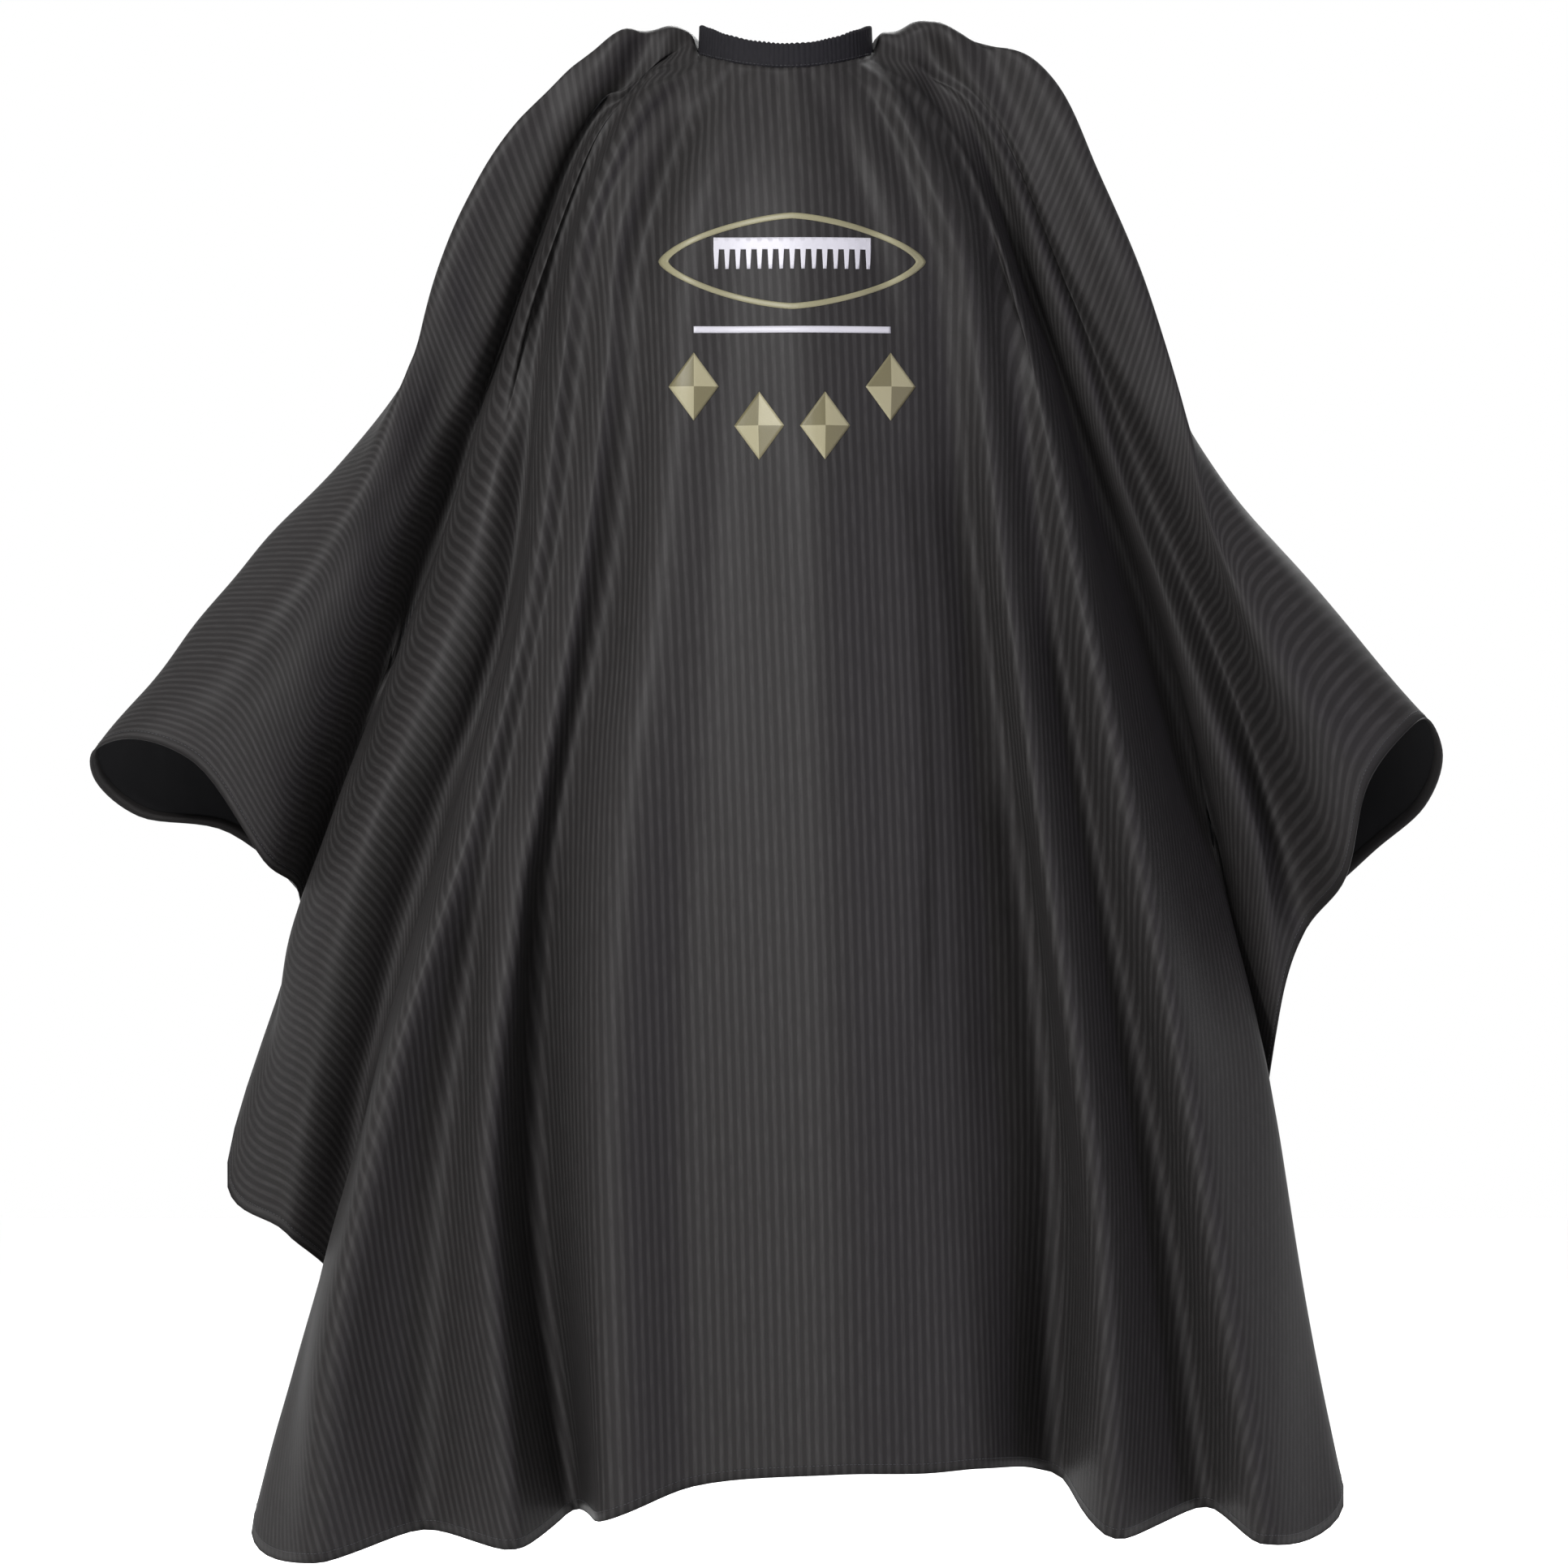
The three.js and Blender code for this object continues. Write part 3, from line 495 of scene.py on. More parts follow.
# The folds move the cloth mostly forwards and upwards, so that neighbouring layers keep their order.
SIDEWAYS_SHARE = 0.3  # folds rise this much across the arms, against 1 in the other two directions
first_normals = grid_normals(cloth)
FRONT_AZIMUTH, FRONT_FADE = 112, 14  # the folds end at this azimuth, and fade over this many degrees
SEAM_FADE = 50  # they start at the seam and reach their height over this length
facing = np.clip(0.3 - first_normals[..., 1], 0, 1) ** 0.5
front_half = np.clip((FRONT_AZIMUTH - np.abs(around_neck)) / FRONT_FADE, 0, 1)
near_seam = np.clip(from_seam / SEAM_FADE, 0, 1) ** 1.5
fold_way = first_normals * np.array([SIDEWAYS_SHARE, 1.0, 1.0])
cloth = cloth + fold_way * (front_folds(cloth) * facing * front_half * near_seam)[..., None]

# Beside the neck the gathered cloth stands up in a soft roll, almost as high as the band. Heights by distance
# from the seam, on the left and on the right.
ROLL_LEFT = ((0, 3, 9, 18, 28, 40, 50, 65), (0, 14, 17, 15, 11, 5, 3, 0))
ROLL_RIGHT = ((0, 3, 9, 21, 30, 39, 51, 67), (0, 13, 15, 10, 11, 14, 8, 0))
ROLL_AT, ROLL_WIDTH = 99, 19  # azimuth of its middle and half its width
beside_neck = np.exp(-(((np.abs(around_neck) - ROLL_AT) / ROLL_WIDTH) ** 4))
roll = beside_neck * np.where(around_neck < 0, np.interp(from_seam, *ROLL_LEFT),
                              np.interp(from_seam, *ROLL_RIGHT))
cloth = cloth + roll[..., None] * np.array([0, 0, 1.0])

# The cloth's own stiffness evens out kinks: each point moves to the mean of its neighbours and then a little
# more than back again, many times over, which leaves the broad shape alone. The back strips and the lower
# half are left as they are.
EASING_ROUNDS = 10
EASED_LENGTH, EASED_AZIMUTH = 420.0, 134.0  # no easing beyond these
easing = (np.clip((EASED_LENGTH - from_seam) / 120, 0, 1)
          * np.clip((EASED_AZIMUTH - np.abs(around_neck)) / 8, 0, 1))
for weight in (0.5, -0.52) * EASING_ROUNDS:
    pull = (easing * weight)[..., None]
    cloth[1:-1] += ((cloth[:-2] + cloth[2:]) / 2 - cloth[1:-1]) * pull[1:-1]
    cloth[:, 1:-1] += ((cloth[:, :-2] + cloth[:, 2:]) / 2 - cloth[:, 1:-1]) * pull[:, 1:-1]

# The cloth's inner edge is tucked up into the fold of the neckband, below the elastic.
cloth[:, 0] = around(azimuth, BAND_RADIUS + 0.7, band_foot(azimuth) + TUCK_MM)


def build_mesh(name, points, faces, materials, face_material=None, flat=None, smooth=True):
    """A mesh object from arrays: points in mm, four-cornered faces, and a flat UV for each point in
    metres.
    """
    data = bpy.data.meshes.new(name)
    points = np.asarray(points, np.float32).reshape(-1, 3) * MM
    faces = np.asarray(faces, np.int32)
    data.vertices.add(len(points))
    data.vertices.foreach_set("co", points.ravel())
    data.loops.add(faces.size)
    data.loops.foreach_set("vertex_index", faces.ravel())
    data.polygons.add(len(faces))
    data.polygons.foreach_set("loop_start", np.arange(0, faces.size, faces.shape[1], dtype=np.int32))
    if face_material is not None:
        data.polygons.foreach_set("material_index", np.asarray(face_material, np.int32))
    data.polygons.foreach_set("use_smooth", np.full(len(faces), smooth))
    for material in materials:
        data.materials.append(material)
    if flat is not None:
        layer = data.uv_layers.new(name="flat")
        layer.data.foreach_set("uv", np.asarray(flat, np.float32).reshape(-1, 2)[faces.ravel()].ravel())
    data.update(calc_edges=True)
    data.validate()
    made = bpy.data.objects.new(name, data)
    scene.collection.objects.link(made)
    return made


def grid_faces(rows, columns, loops=False):
    """Quads of a grid whose point (i, j) is number i * columns + j, facing the way that grid_normals
    points.
    """
    i, j = np.meshgrid(np.arange(rows if loops else rows - 1), np.arange(columns - 1), indexing="ij")
    a, b = (i * columns + j).ravel(), ((i + 1) % rows * columns + j).ravel()
    return np.stack([a, a + 1, b + 1, b], -1)


def shell(name, outer, inner, materials, flat=None, loops=False, smooth=True):
    """A thin closed solid between two grids: outer skin (first material), inner skin and edges (last
    material).
    """
    rows, columns = outer.shape[:2]
    skin = grid_faces(rows, columns, loops)
    behind = rows * columns
    rim = [np.arange(rows) * columns, np.arange(rows) * columns + columns - 1]
    if loops:
        borders = [(np.append(line, line[0]), turned) for line, turned in zip(rim, (False, True))]
    else:
        borders = [(rim[0], False), (rim[1], True), (np.arange(columns), True),
                   (np.arange(columns) + (rows - 1) * columns, False)]
    edges = []
    for line, turned in borders:
        a, b = line[:-1], line[1:]
        quad = [a, b, b + behind, a + behind]
        edges.append(np.stack(quad[::-1] if turned else quad, -1))
    faces = np.concatenate([skin, skin[:, ::-1] + behind, *edges])
    lining = np.arange(len(faces)) >= len(skin)
    points = np.concatenate([outer.reshape(-1, 3), inner.reshape(-1, 3)])
    uv = None if flat is None else np.concatenate([flat.reshape(-1, 2)] * 2)
    return build_mesh(name, points, faces, materials, lining * (len(materials) - 1), uv, smooth)


# Woven polyester, face side: black with a lighter pinstripe every 7 mm that is broken up along its length,
# nearly matt, and a plain weave that is drawn at 1.2 mm, four times its real size, so that it shows.
STRIPE_M = 0.007
WEAVE_M = 0.0012
pinstripe = new_material("pinstripe_polyester")
stripe_place = flat_place(pinstripe)
stripe_x, _ = split(pinstripe, stripe_place)
streak_place = node(pinstripe, "ShaderNodeMapping", {"Scale": (420.0, 55.0, 1.0)}, Vector=stripe_place)
streaks = node(pinstripe, "ShaderNodeTexNoise", {"Scale": 1.0, "Detail": 3.0, "Roughness": 0.6},
               Vector=streak_place.outputs["Vector"])
stripe_wave = arithmetic(pinstripe, "COSINE",
                         arithmetic(pinstripe, "MULTIPLY", stripe_x, 2 * np.pi / STRIPE_M))
stripe_band = node(pinstripe, "ShaderNodeMapRange", {"interpolation_type": "SMOOTHSTEP", 1: -0.55, 2: 0.85},
                   _0=stripe_wave)
stripe_broken = node(pinstripe, "ShaderNodeMapRange", {1: 0.3, 2: 0.7, 3: 0.3, 4: 1.0},
                     _0=streaks.outputs["Fac"])
stripe_share = arithmetic(pinstripe, "MULTIPLY", stripe_band.outputs[0], stripe_broken.outputs[0])
stripe_tone = two_tones(pinstripe, "#151414", "#212020", stripe_share)
weave_place = node(pinstripe, "ShaderNodeMapping", {"Scale": (1 / WEAVE_M, 1 / WEAVE_M, 1.0)},
                   Vector=stripe_place)
weave = node(pinstripe, "ShaderNodeTexChecker", {"Scale": 1.0}, Vector=weave_place.outputs["Vector"])
relief = node(pinstripe, "ShaderNodeMath", {"operation": "MULTIPLY_ADD", 1: 0.12},
              _0=weave.outputs["Fac"], _2=noise(pinstripe, stripe_place, 28.0, 3.0))
finish_material(pinstripe, {"Roughness": 0.55, "Specular IOR Level": 0.06},
                Base_Color=stripe_tone, Normal=bumped(pinstripe, relief.outputs[0], 0.25, 0.002))

# The same cloth's back, where the stripe threads float behind the black weft and hardly show.
cloth_back = new_material("polyester_back")
back_mottle = noise(cloth_back, flat_place(cloth_back), 60.0, 3.0)
finish_material(cloth_back, {"Roughness": 0.75, "Specular IOR Level": 0.05},
                Base_Color=two_tones(cloth_back, "#0b0b0c", "#101011", back_mottle),
                Normal=bumped(cloth_back, back_mottle, 0.2, 0.001))

normals = grid_normals(cloth)
flat_uv = np.stack([across, along], -1) * MM
left_cut = COLUMNS_PER_LINE
right_cut = len(places) - 1 - COLUMNS_PER_LINE


def cloth_piece(name, first, last, outwards=0.0):
    """The columns from first to last of the cloth, as one thin closed sheet."""
    part = slice(first, last + 1)
    outer = cloth[part] + normals[part] * outwards
    inner = outer - normals[part] * CLOTH_MM
    return shell(name, outer, inner, [pinstripe, cloth_back], flat_uv[part])


cape_main = cloth_piece("cape_cloth", left_cut, right_cut)
strip_left = cloth_piece("back_strip_left", 0, left_cut)
strip_right = cloth_piece("back_strip_right", right_cut, len(places) - 1)
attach(cape_main, "root")
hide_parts("cape_front", "cape_side_left", "cape_side_right", "cape_rear_left", "cape_rear_right")


def body_blend(piece, side):
    """Works out a back piece's hinge line and the way from it towards the slit's foot, though nothing uses
    them, then bakes the piece's placement into its points.
    """
    hinge = seam(side * HINGE_AZIMUTH)
    foot = np.array([side * BACK_HINGE_HEM[0], *BACK_HINGE_HEM[1:]], float)
    slit = np.array([side * BACK_SLIT_HEM[0], *BACK_SLIT_HEM[1:]], float)
    axis = (foot - hinge) / np.linalg.norm(foot - hinge)
    away = (slit - foot) - axis * np.dot(slit - foot, axis)
    away /= np.linalg.norm(away)
    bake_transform(piece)


for strip, side, piece in ((strip_left, -1, "cape_back_left"), (strip_right, 1, "cape_back_right")):
    body_blend(strip, side)
    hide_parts(piece)

# Turned hem: the cloth's edge folded 9 mm to the inside and stitched down, so it is one turn of the same
# cloth.
HEM_MM = 9.0
HEM_SECTION = np.array([(0.5, 0.10), (-0.1, 0.28), (-0.6, -0.1), (-0.65, -0.65), (-0.2, -1.15), (4, -1.2),
                        (HEM_MM, -1.15)])
HEM_INNER = np.array([(0.5, 0.02), (0.1, 0.02), (0.05, -0.2), (0.05, -0.52), (0.3, -0.56), (4, -0.6),
                      (HEM_MM, -0.62)])


def hem_frame(first, last, from_edge):
    """Points on the cloth at distances up from the hem, for columns first to last, and the outward normal
    there.
    """
    part = slice(first, last + 1)
    length = down_length[part, -1:] - from_edge
    rows = np.stack([np.interp(want, walked, np.arange(ROW_COUNT))
                     for want, walked in zip(length, down_length[part])])
    whole = np.clip(rows.astype(int), 0, ROW_COUNT - 2)
    share = (rows - whole)[..., None]
    column = np.arange(first, last + 1)[:, None]

    def read(grid):
        """A grid read between two rows."""
        return grid[column, whole] * (1 - share) + grid[column, whole + 1] * share

    return read(cloth), read(normals), read(flat_uv)


def hem_piece(name, first, last):
    """The turned hem under the columns from first to last."""
    base, outward, flat = hem_frame(first, last, HEM_SECTION[:, 0])
    outer = base + outward * HEM_SECTION[:, 1][None, :, None]
    inner_base, inner_outward, _ = hem_frame(first, last, HEM_INNER[:, 0])
    inner = inner_base + inner_outward * HEM_INNER[:, 1][None, :, None]
    return shell(name, inner, outer, [cloth_back, pinstripe], flat)


hem_main = hem_piece("hem_turning", left_cut, right_cut)
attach(hem_main, "root")
hem_left = hem_piece("hem_turning_left", 0, left_cut)
body_blend(hem_left, -1)
hem_right = hem_piece("hem_turning_right", right_cut, len(places) - 1)
body_blend(hem_right, 1)

# ----------------------------------------------------------------------------------------------------------
# Neckband: a strip of plain black cotton, folded over a wide elastic and gathered by it into about a hundred
# pleats. Its two ends meet at the back. It is sewn on over the cloth's neck hole.
# ----------------------------------------------------------------------------------------------------------
GATHERS = 104  # pleats round the neck
BAND_SKIN = 0.45
BAND_STEPS_PER_DEGREE = 2.6


def pleats(azimuth, height):
    """Depth from 0 to 1 of the gathers: a folded sine whose spacing wanders round the neck and leans with
    height.
    """
    wander = (1.1 * np.sin(azimuth / 17) + 0.7 * np.sin(azimuth / 6.3 + 2)
              + 0.02 * height * np.sin(azimuth / 4.1))
    strength = 0.7 + 0.3 * np.sin(azimuth / 5.2 + 0.06 * height) * np.sin(azimuth / 11)
    return np.abs(np.sin(np.radians(azimuth) * GATHERS / 2 + wander)) * strength


def band_grid(azimuths, thin):
    """The folded strip: out at the foot, up the outer face, over a round top and down the inner face."""
    turn = np.linspace(0, np.pi, 9)
    face = np.linspace(0, 1, 12)
    half = BAND_HALF - thin
    offset = np.concatenate([np.full(11, half), half * np.cos(turn), np.full(11, -half)])
    climb = np.concatenate([face[:-1], np.ones(9), face[-2::-1]])
    rise = np.concatenate([np.zeros(11), half * np.sin(turn), np.zeros(11)])
    a = azimuths[:, None]
    foot, top = band_foot(a), band_top(a) - BAND_HALF
    fold = pleats(a, climb * (top - foot))
    over_elastic = 0.55 + 0.45 * np.abs(2 * climb - 1) ** 2
    height = foot + climb * (top - foot) + rise + 1.4 * fold * climb**6
    radius = BAND_RADIUS - BAND_LEAN * climb + offset + np.sign(offset) * 0.75 * (fold - 0.6) * over_elastic
    flat = np.stack(np.broadcast_arrays(np.radians(a) * BAND_RADIUS, height), -1) * MM
    return around(a, radius, height), flat


# Plain cotton weave, black: its threads are drawn at 0.8 mm, twice their real size.
band_cotton = new_material("black_cotton_band")
band_place = flat_place(band_cotton)
band_scale = node(band_cotton, "ShaderNodeMapping", {"Scale": (1250.0, 1250.0, 1.0)}, Vector=band_place)
band_weave = node(band_cotton, "ShaderNodeTexChecker", {"Scale": 1.0}, Vector=band_scale.outputs["Vector"])
band_fuzz = noise(band_cotton, band_place, 240.0, 4.0)
band_height = node(band_cotton, "ShaderNodeMath", {"operation": "MULTIPLY_ADD", 1: 0.3},
                   _0=band_weave.outputs["Fac"], _2=band_fuzz)
finish_material(band_cotton, {"Roughness": 0.8, "Specular IOR Level": 0.08},
                Base_Color=two_tones(band_cotton, "#08080a", "#111013", band_fuzz),
                Normal=bumped(band_cotton, band_height.outputs[0], 0.3, 0.0006))


def band_piece(name, start, end):
    """The folded band between two azimuths, as one thin closed strip."""
    azimuths = np.linspace(start, end, int((end - start) * BAND_STEPS_PER_DEGREE) + 1)
    outer, flat = band_grid(azimuths, 0)
    inner, _ = band_grid(azimuths, BAND_SKIN)
    return shell(name, outer[:, ::-1], inner[:, ::-1], [band_cotton], flat[:, ::-1])


band_front = band_piece("neckband", -HINGE_AZIMUTH, HINGE_AZIMUTH)
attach(band_front, "root")
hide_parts("neckband_front")
band_left = band_piece("neckband_left", -SLIT_AZIMUTH, -HINGE_AZIMUTH)
band_right = band_piece("neckband_right", HINGE_AZIMUTH, SLIT_AZIMUTH)
for band, side, piece in ((band_left, -1, "neckband_back_left"), (band_right, 1, "neckband_back_right")):
    body_blend(band, side)
    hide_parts(piece)

# Elastic inside the fold of the neckband: a knitted rubber tape, ribbed along its length. Its ends show at
# the opening.
elastic_knit = new_material("knitted_elastic")
elastic_ribs = node(elastic_knit, "ShaderNodeTexWave",
                    {"bands_direction": "Z", "Scale": 160.0, "Distortion": 0.4},
                    Vector=object_place(elastic_knit)).outputs["Fac"]
finish_material(elastic_knit, {"Roughness": 0.7, "Specular IOR Level": 0.2},
                Base_Color=two_tones(elastic_knit, "#0a0a0a", "#191919", elastic_ribs),
                Normal=bumped(elastic_knit, elastic_ribs, 0.5, 0.0005))
for part in ("elastic_front", "elastic_back_left", "elastic_back_right"):
    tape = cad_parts[part]
    tape.data.materials.clear()
    tape.data.materials.append(elastic_knit)

# ----------------------------------------------------------------------------------------------------------
# Closure tab: two layers of the band's cotton, stitched round the edge, sewn to the right end of the band. It
# steps out over the studs on the left end and carries two snap sockets.
# ----------------------------------------------------------------------------------------------------------
TAB_HEIGHT, TAB_THICK = 14.0, 1.2
TAB_END, TAB_ROOT, TAB_STEP = 26.0, 12.0, 3.3
SNAP_Z = -7.0
SNAP_PLACES = (8, 20, 32)
band_face = BAND_RADIUS + BAND_HALF


def along_band(length):
    """Degrees round the neck that a length along the band spans."""
    return np.degrees(length / BAND_RADIUS)


def smooth_step(start, end, value):
    """0 before start, 1 after end, and 3t^2 - 2t^3 between."""
    t = np.clip((value - start) / (end - start), 0, 1)
    return t * t * (3 - 2 * t)


def sweep(name, rings, materials, flat=None):
    """A closed tube through rings of points (station, corner), with its ends closed by strips of quads."""
    stations, corners = rings.shape[:2]
    i, j = np.meshgrid(np.arange(stations - 1), np.arange(corners), indexing="ij")
    a, b = i * corners + j, i * corners + (j + 1) % corners
    walls = np.stack([a, b, b + corners, a + corners], -1).reshape(-1, 4)
    k = np.arange(corners // 2 - 1)
    cap = np.stack([k, k + 1, corners - 2 - k, corners - 1 - k], -1)
    faces = np.concatenate([walls, cap[:, ::-1], cap + (stations - 1) * corners])
    centre = rings.reshape(-1, 3).mean(0)
    corner_points = rings.reshape(-1, 3)[walls] - centre
    volume = np.einsum("ij,ij->i", corner_points[:, 0],
                       np.cross(corner_points[:, 1], corner_points[:, 2])).sum()
    if volume < 0:
        faces = faces[:, ::-1]
    return build_mesh(name, rings, faces, materials, flat=flat)


def tab_reach(azimuths):
    """Radius of the tab's inner face: on the band at its root, then stepping out past the opening."""
    past = np.radians(azimuths - 180) * BAND_RADIUS
    return band_face + 0.4 + (TAB_STEP - 0.4) * smooth_step(-4, 2.5, past), past


tab_azimuths = 180 + np.linspace(-along_band(TAB_ROOT), along_band(TAB_END), 97)
tab_inner, tab_past = tab_reach(tab_azimuths)
tab_round = np.where(tab_past > TAB_END - 5,
                     5 - np.sqrt(np.clip(25 - (tab_past - TAB_END + 5) ** 2, 1, 25)), 0)
tab_half = TAB_HEIGHT / 2 - tab_round
corner_turn = np.linspace(0, 2 * np.pi, 33)[:-1]
oval_r = np.sign(np.cos(corner_turn)) * np.abs(np.cos(corner_turn)) ** 0.7
oval_h = np.sign(np.sin(corner_turn)) * np.abs(np.sin(corner_turn)) ** 0.16
# the edge stitching presses the layers together
groove = 1 - 0.16 * np.exp(-(((np.abs(oval_h) - 0.8) / 0.07) ** 2))
tab_rings = around(
    tab_azimuths[:, None],
    tab_inner[:, None] + TAB_THICK / 2 * (1 + oval_r * groove),
    SNAP_Z + tab_half[:, None] * oval_h,
)
tab_flat = np.stack(np.broadcast_arrays(tab_past[:, None], tab_half[:, None] * oval_h), -1) * MM
tab = sweep("closure_tab_cotton", tab_rings, [band_cotton], tab_flat)
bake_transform(tab)
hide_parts("closure_tab")

# ----------------------------------------------------------------------------------------------------------
# Snap fasteners: pressed and plated brass, turned about an axis that points straight out from the neck. Three
# studs with their posts are on the left end of the band, two sockets with their caps on the tab.
# ----------------------------------------------------------------------------------------------------------
STUD = ((0, 0), (4.3, 0), (4.5, 0.1), (4.5, 0.42), (4.3, 0.5), (2.0, 0.62), (1.65, 0.9), (1.6, 1.3),
        (1.9, 1.6), (1.9, 1.85), (1.55, 2.1), (1.2, 2.2), (0, 2.2))
POST = ((0, -0.7), (3.2, -0.7), (3.6, -0.62), (4.3, -0.36), (4.4, -0.2), (4.4, 0), (0, 0))
SOCKET = ((3.4, 0), (4.3, 0), (4.62, 0.15), (4.7, 0.35), (4.7, 0.85), (4.6, 1.0), (3.5, 1.0), (3.4, 0.9),
          (3.4, 0))
CAP = ((0, 0), (4.8, 0), (5.0, 0.12), (5.0, 0.35), (4.8, 0.6), (4.2, 0.98), (3.2, 1.24), (2.2, 1.4),
       (1.1, 1.48), (0, 1.5))

# Nickel plate: bright and smooth, with faint scratches from washing and use.
nickel = new_material("nickel_plate")
nickel_rough = node(nickel, "ShaderNodeMapRange", {3: 0.22, 4: 0.36},
                    _0=noise(nickel, object_place(nickel), 900.0, 3.0))
finish_material(nickel, {"Base Color": linear("#b9b8b4"), "Metallic": 1.0}, Roughness=nickel_rough.outputs[0])


def snap(name, profile, place, radius, body, cad_node):
    """A turned snap part: its profile of (radius, height) spun in 40 steps about the axis through its
    place.
    """
    azimuth_here = 180 + along_band(place)
    spin = np.linspace(0, 2 * np.pi, 41)[:-1]
    r, h = np.array(profile, float).T
    a = np.radians(azimuth_here)
    out = np.array([np.sin(a), -np.cos(a), 0])
    side = np.array([np.cos(a), np.sin(a), 0])
    up = np.array([0, 0, 1.0])
    r = np.maximum(r, 0.01)
    centre = around(azimuth_here, radius, SNAP_Z)
    rings = (centre + h[:, None, None] * out
             + r[:, None, None] * (np.cos(spin)[None, :, None] * side + np.sin(spin)[None, :, None] * up))
    made = sweep(name, rings, [nickel])
    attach(made, body)
    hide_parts(cad_node)


for k, place in enumerate(SNAP_PLACES, 1):
    snap(f"stud_{k}", STUD, place, band_face + 0.3, "back_left", f"snap_stud_{k}")
    snap(f"post_{k}", POST, place, BAND_RADIUS - BAND_LEAN - BAND_HALF - 0.4, "back_left", f"snap_post_{k}")
for k, place in enumerate(SNAP_PLACES[:2], 1):
    snap(f"socket_{k}", SOCKET, place, band_face + TAB_STEP - 1.4, "tab", f"snap_socket_{k}")
    snap(f"cap_{k}", CAP, place, band_face + TAB_STEP + TAB_THICK + 0.4, "tab", f"snap_cap_{k}")

# ----------------------------------------------------------------------------------------------------------
# Care label: a folded satin ribbon that hangs from the neck seam inside the right back. Its print is left
# blank but for plain grey bars where the lines of text would be.
# ----------------------------------------------------------------------------------------------------------
LABEL_WIDE, LABEL_TALL = 30.0, 42.0
LABEL_X, LABEL_Y, LABEL_TOP = 17.0, 57.5, -19.5
LABEL_LAYER = 0.16
satin = new_material("satin_label")
satin_place = flat_place(satin)
satin_x, satin_y = split(satin, satin_place)
satin_bars = arithmetic(satin, "PINGPONG", arithmetic(satin, "MULTIPLY", satin_y, 240.0), 0.5)
satin_line = arithmetic(satin, "GREATER_THAN", satin_bars, 0.33)
satin_within = arithmetic(satin, "LESS_THAN", arithmetic(satin, "ABSOLUTE", satin_x), 0.0105)
satin_print = arithmetic(satin, "MULTIPLY", satin_line, satin_within)
finish_material(satin, {"Roughness": 0.42, "Specular IOR Level": 0.3},
                Base_Color=two_tones(satin, "#b9b6ae", "#6b6a68", satin_print),
                Normal=bumped(satin, noise(satin, satin_place, 1400.0, 2.0), 0.15, 0.0003))

ribbon_x = np.linspace(-LABEL_WIDE / 2, LABEL_WIDE / 2, 25)
ribbon_turn = np.linspace(-np.pi / 2, np.pi / 2, 9)
ribbon_down = np.concatenate([np.linspace(0, LABEL_TALL - 0.4, 30)[:-1],
                              LABEL_TALL - 0.4 + 0.4 * np.cos(ribbon_turn),
                              np.linspace(LABEL_TALL - 0.4, 0, 30)[1:]])
ribbon_out = np.concatenate([np.full(29, -0.4), 0.4 * np.sin(ribbon_turn), np.full(29, 0.4)])
ribbon_lift = (0.9 * np.sin(ribbon_down / LABEL_TALL * 2.6)[None]
               + 0.0009 * ribbon_x[:, None] ** 2 * ribbon_down[None] / 42)
ribbon_walk = np.linspace(0, 2 * LABEL_TALL, len(ribbon_down))


def ribbon(offset):
    """The folded ribbon's surface, bent slightly as cloth that has been pressed and washed."""
    return np.stack(np.broadcast_arrays(
        LABEL_X + ribbon_x[:, None],
        LABEL_Y - 0.3 + (ribbon_out + offset * np.sign(ribbon_out + 1e-6))[None] * 0.6 - ribbon_lift,
        LABEL_TOP - ribbon_down[None],
    ), -1)


ribbon_flat = np.stack(np.broadcast_arrays(ribbon_x[:, None], ribbon_walk[None]), -1) * MM
label = shell("care_label_ribbon", ribbon(LABEL_LAYER)[::-1], ribbon(0)[::-1], [satin], ribbon_flat[::-1])
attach(label, "label")
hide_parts("care_label")

# ----------------------------------------------------------------------------------------------------------
# Printed emblem on the chest: thin heat-pressed film, white and dull gold. A long lozenge outline round a
# comb, a thin rule under it, and four faceted lozenges in a shallow V.
# ----------------------------------------------------------------------------------------------------------
FILM_BACK, FILM_FACE = 0.12, 0.4
EMBLEM_X = 5.0
front_columns = slice(middle - 60, middle + 61)
chest = cloth[front_columns]
chest_normals = normals[front_columns]


def blend_at(grid, u, v):
    """A grid read between its points: the mean of four neighbours, weighted by nearness."""
    i, j = np.clip(u.astype(int), 0, grid.shape[0] - 2), np.clip(v.astype(int), 0, grid.shape[1] - 2)
    s, t = (u - i)[..., None], (v - j)[..., None]
    return ((grid[i, j] * (1 - s) + grid[i + 1, j] * s) * (1 - t)
            + (grid[i, j + 1] * (1 - s) + grid[i + 1, j + 1] * s) * t)


def on_chest(flat, lift):
    """Points of the cloth behind each (x, z), found by Newton's steps on column and row, lifted along its
    normal.
    """
    u = np.full(flat.shape[:-1], 60.0) + flat[..., 0] * 0.1
    v = np.interp(-flat[..., 1], -chest[60, :, 2], np.arange(ROW_COUNT))
    for _ in range(25):
        here = blend_at(chest, u, v)[..., [0, 2]]
        by_u = (blend_at(chest, u + 0.25, v)[..., [0, 2]] - here) / 0.25
        by_v = (blend_at(chest, u, v + 0.25)[..., [0, 2]] - here) / 0.25
        miss = flat - here
        size = by_u[..., 0] * by_v[..., 1] - by_u[..., 1] * by_v[..., 0]
        u = u + 0.8 * (miss[..., 0] * by_v[..., 1] - miss[..., 1] * by_v[..., 0]) / size
        v = v + 0.8 * (miss[..., 1] * by_u[..., 0] - miss[..., 0] * by_u[..., 1]) / size
        u, v = np.clip(u, 0, 119.5), np.clip(v, 0, ROW_COUNT - 1.5)
    return blend_at(chest, u, v) + blend_at(chest_normals, u, v) * np.asarray(lift)[..., None]


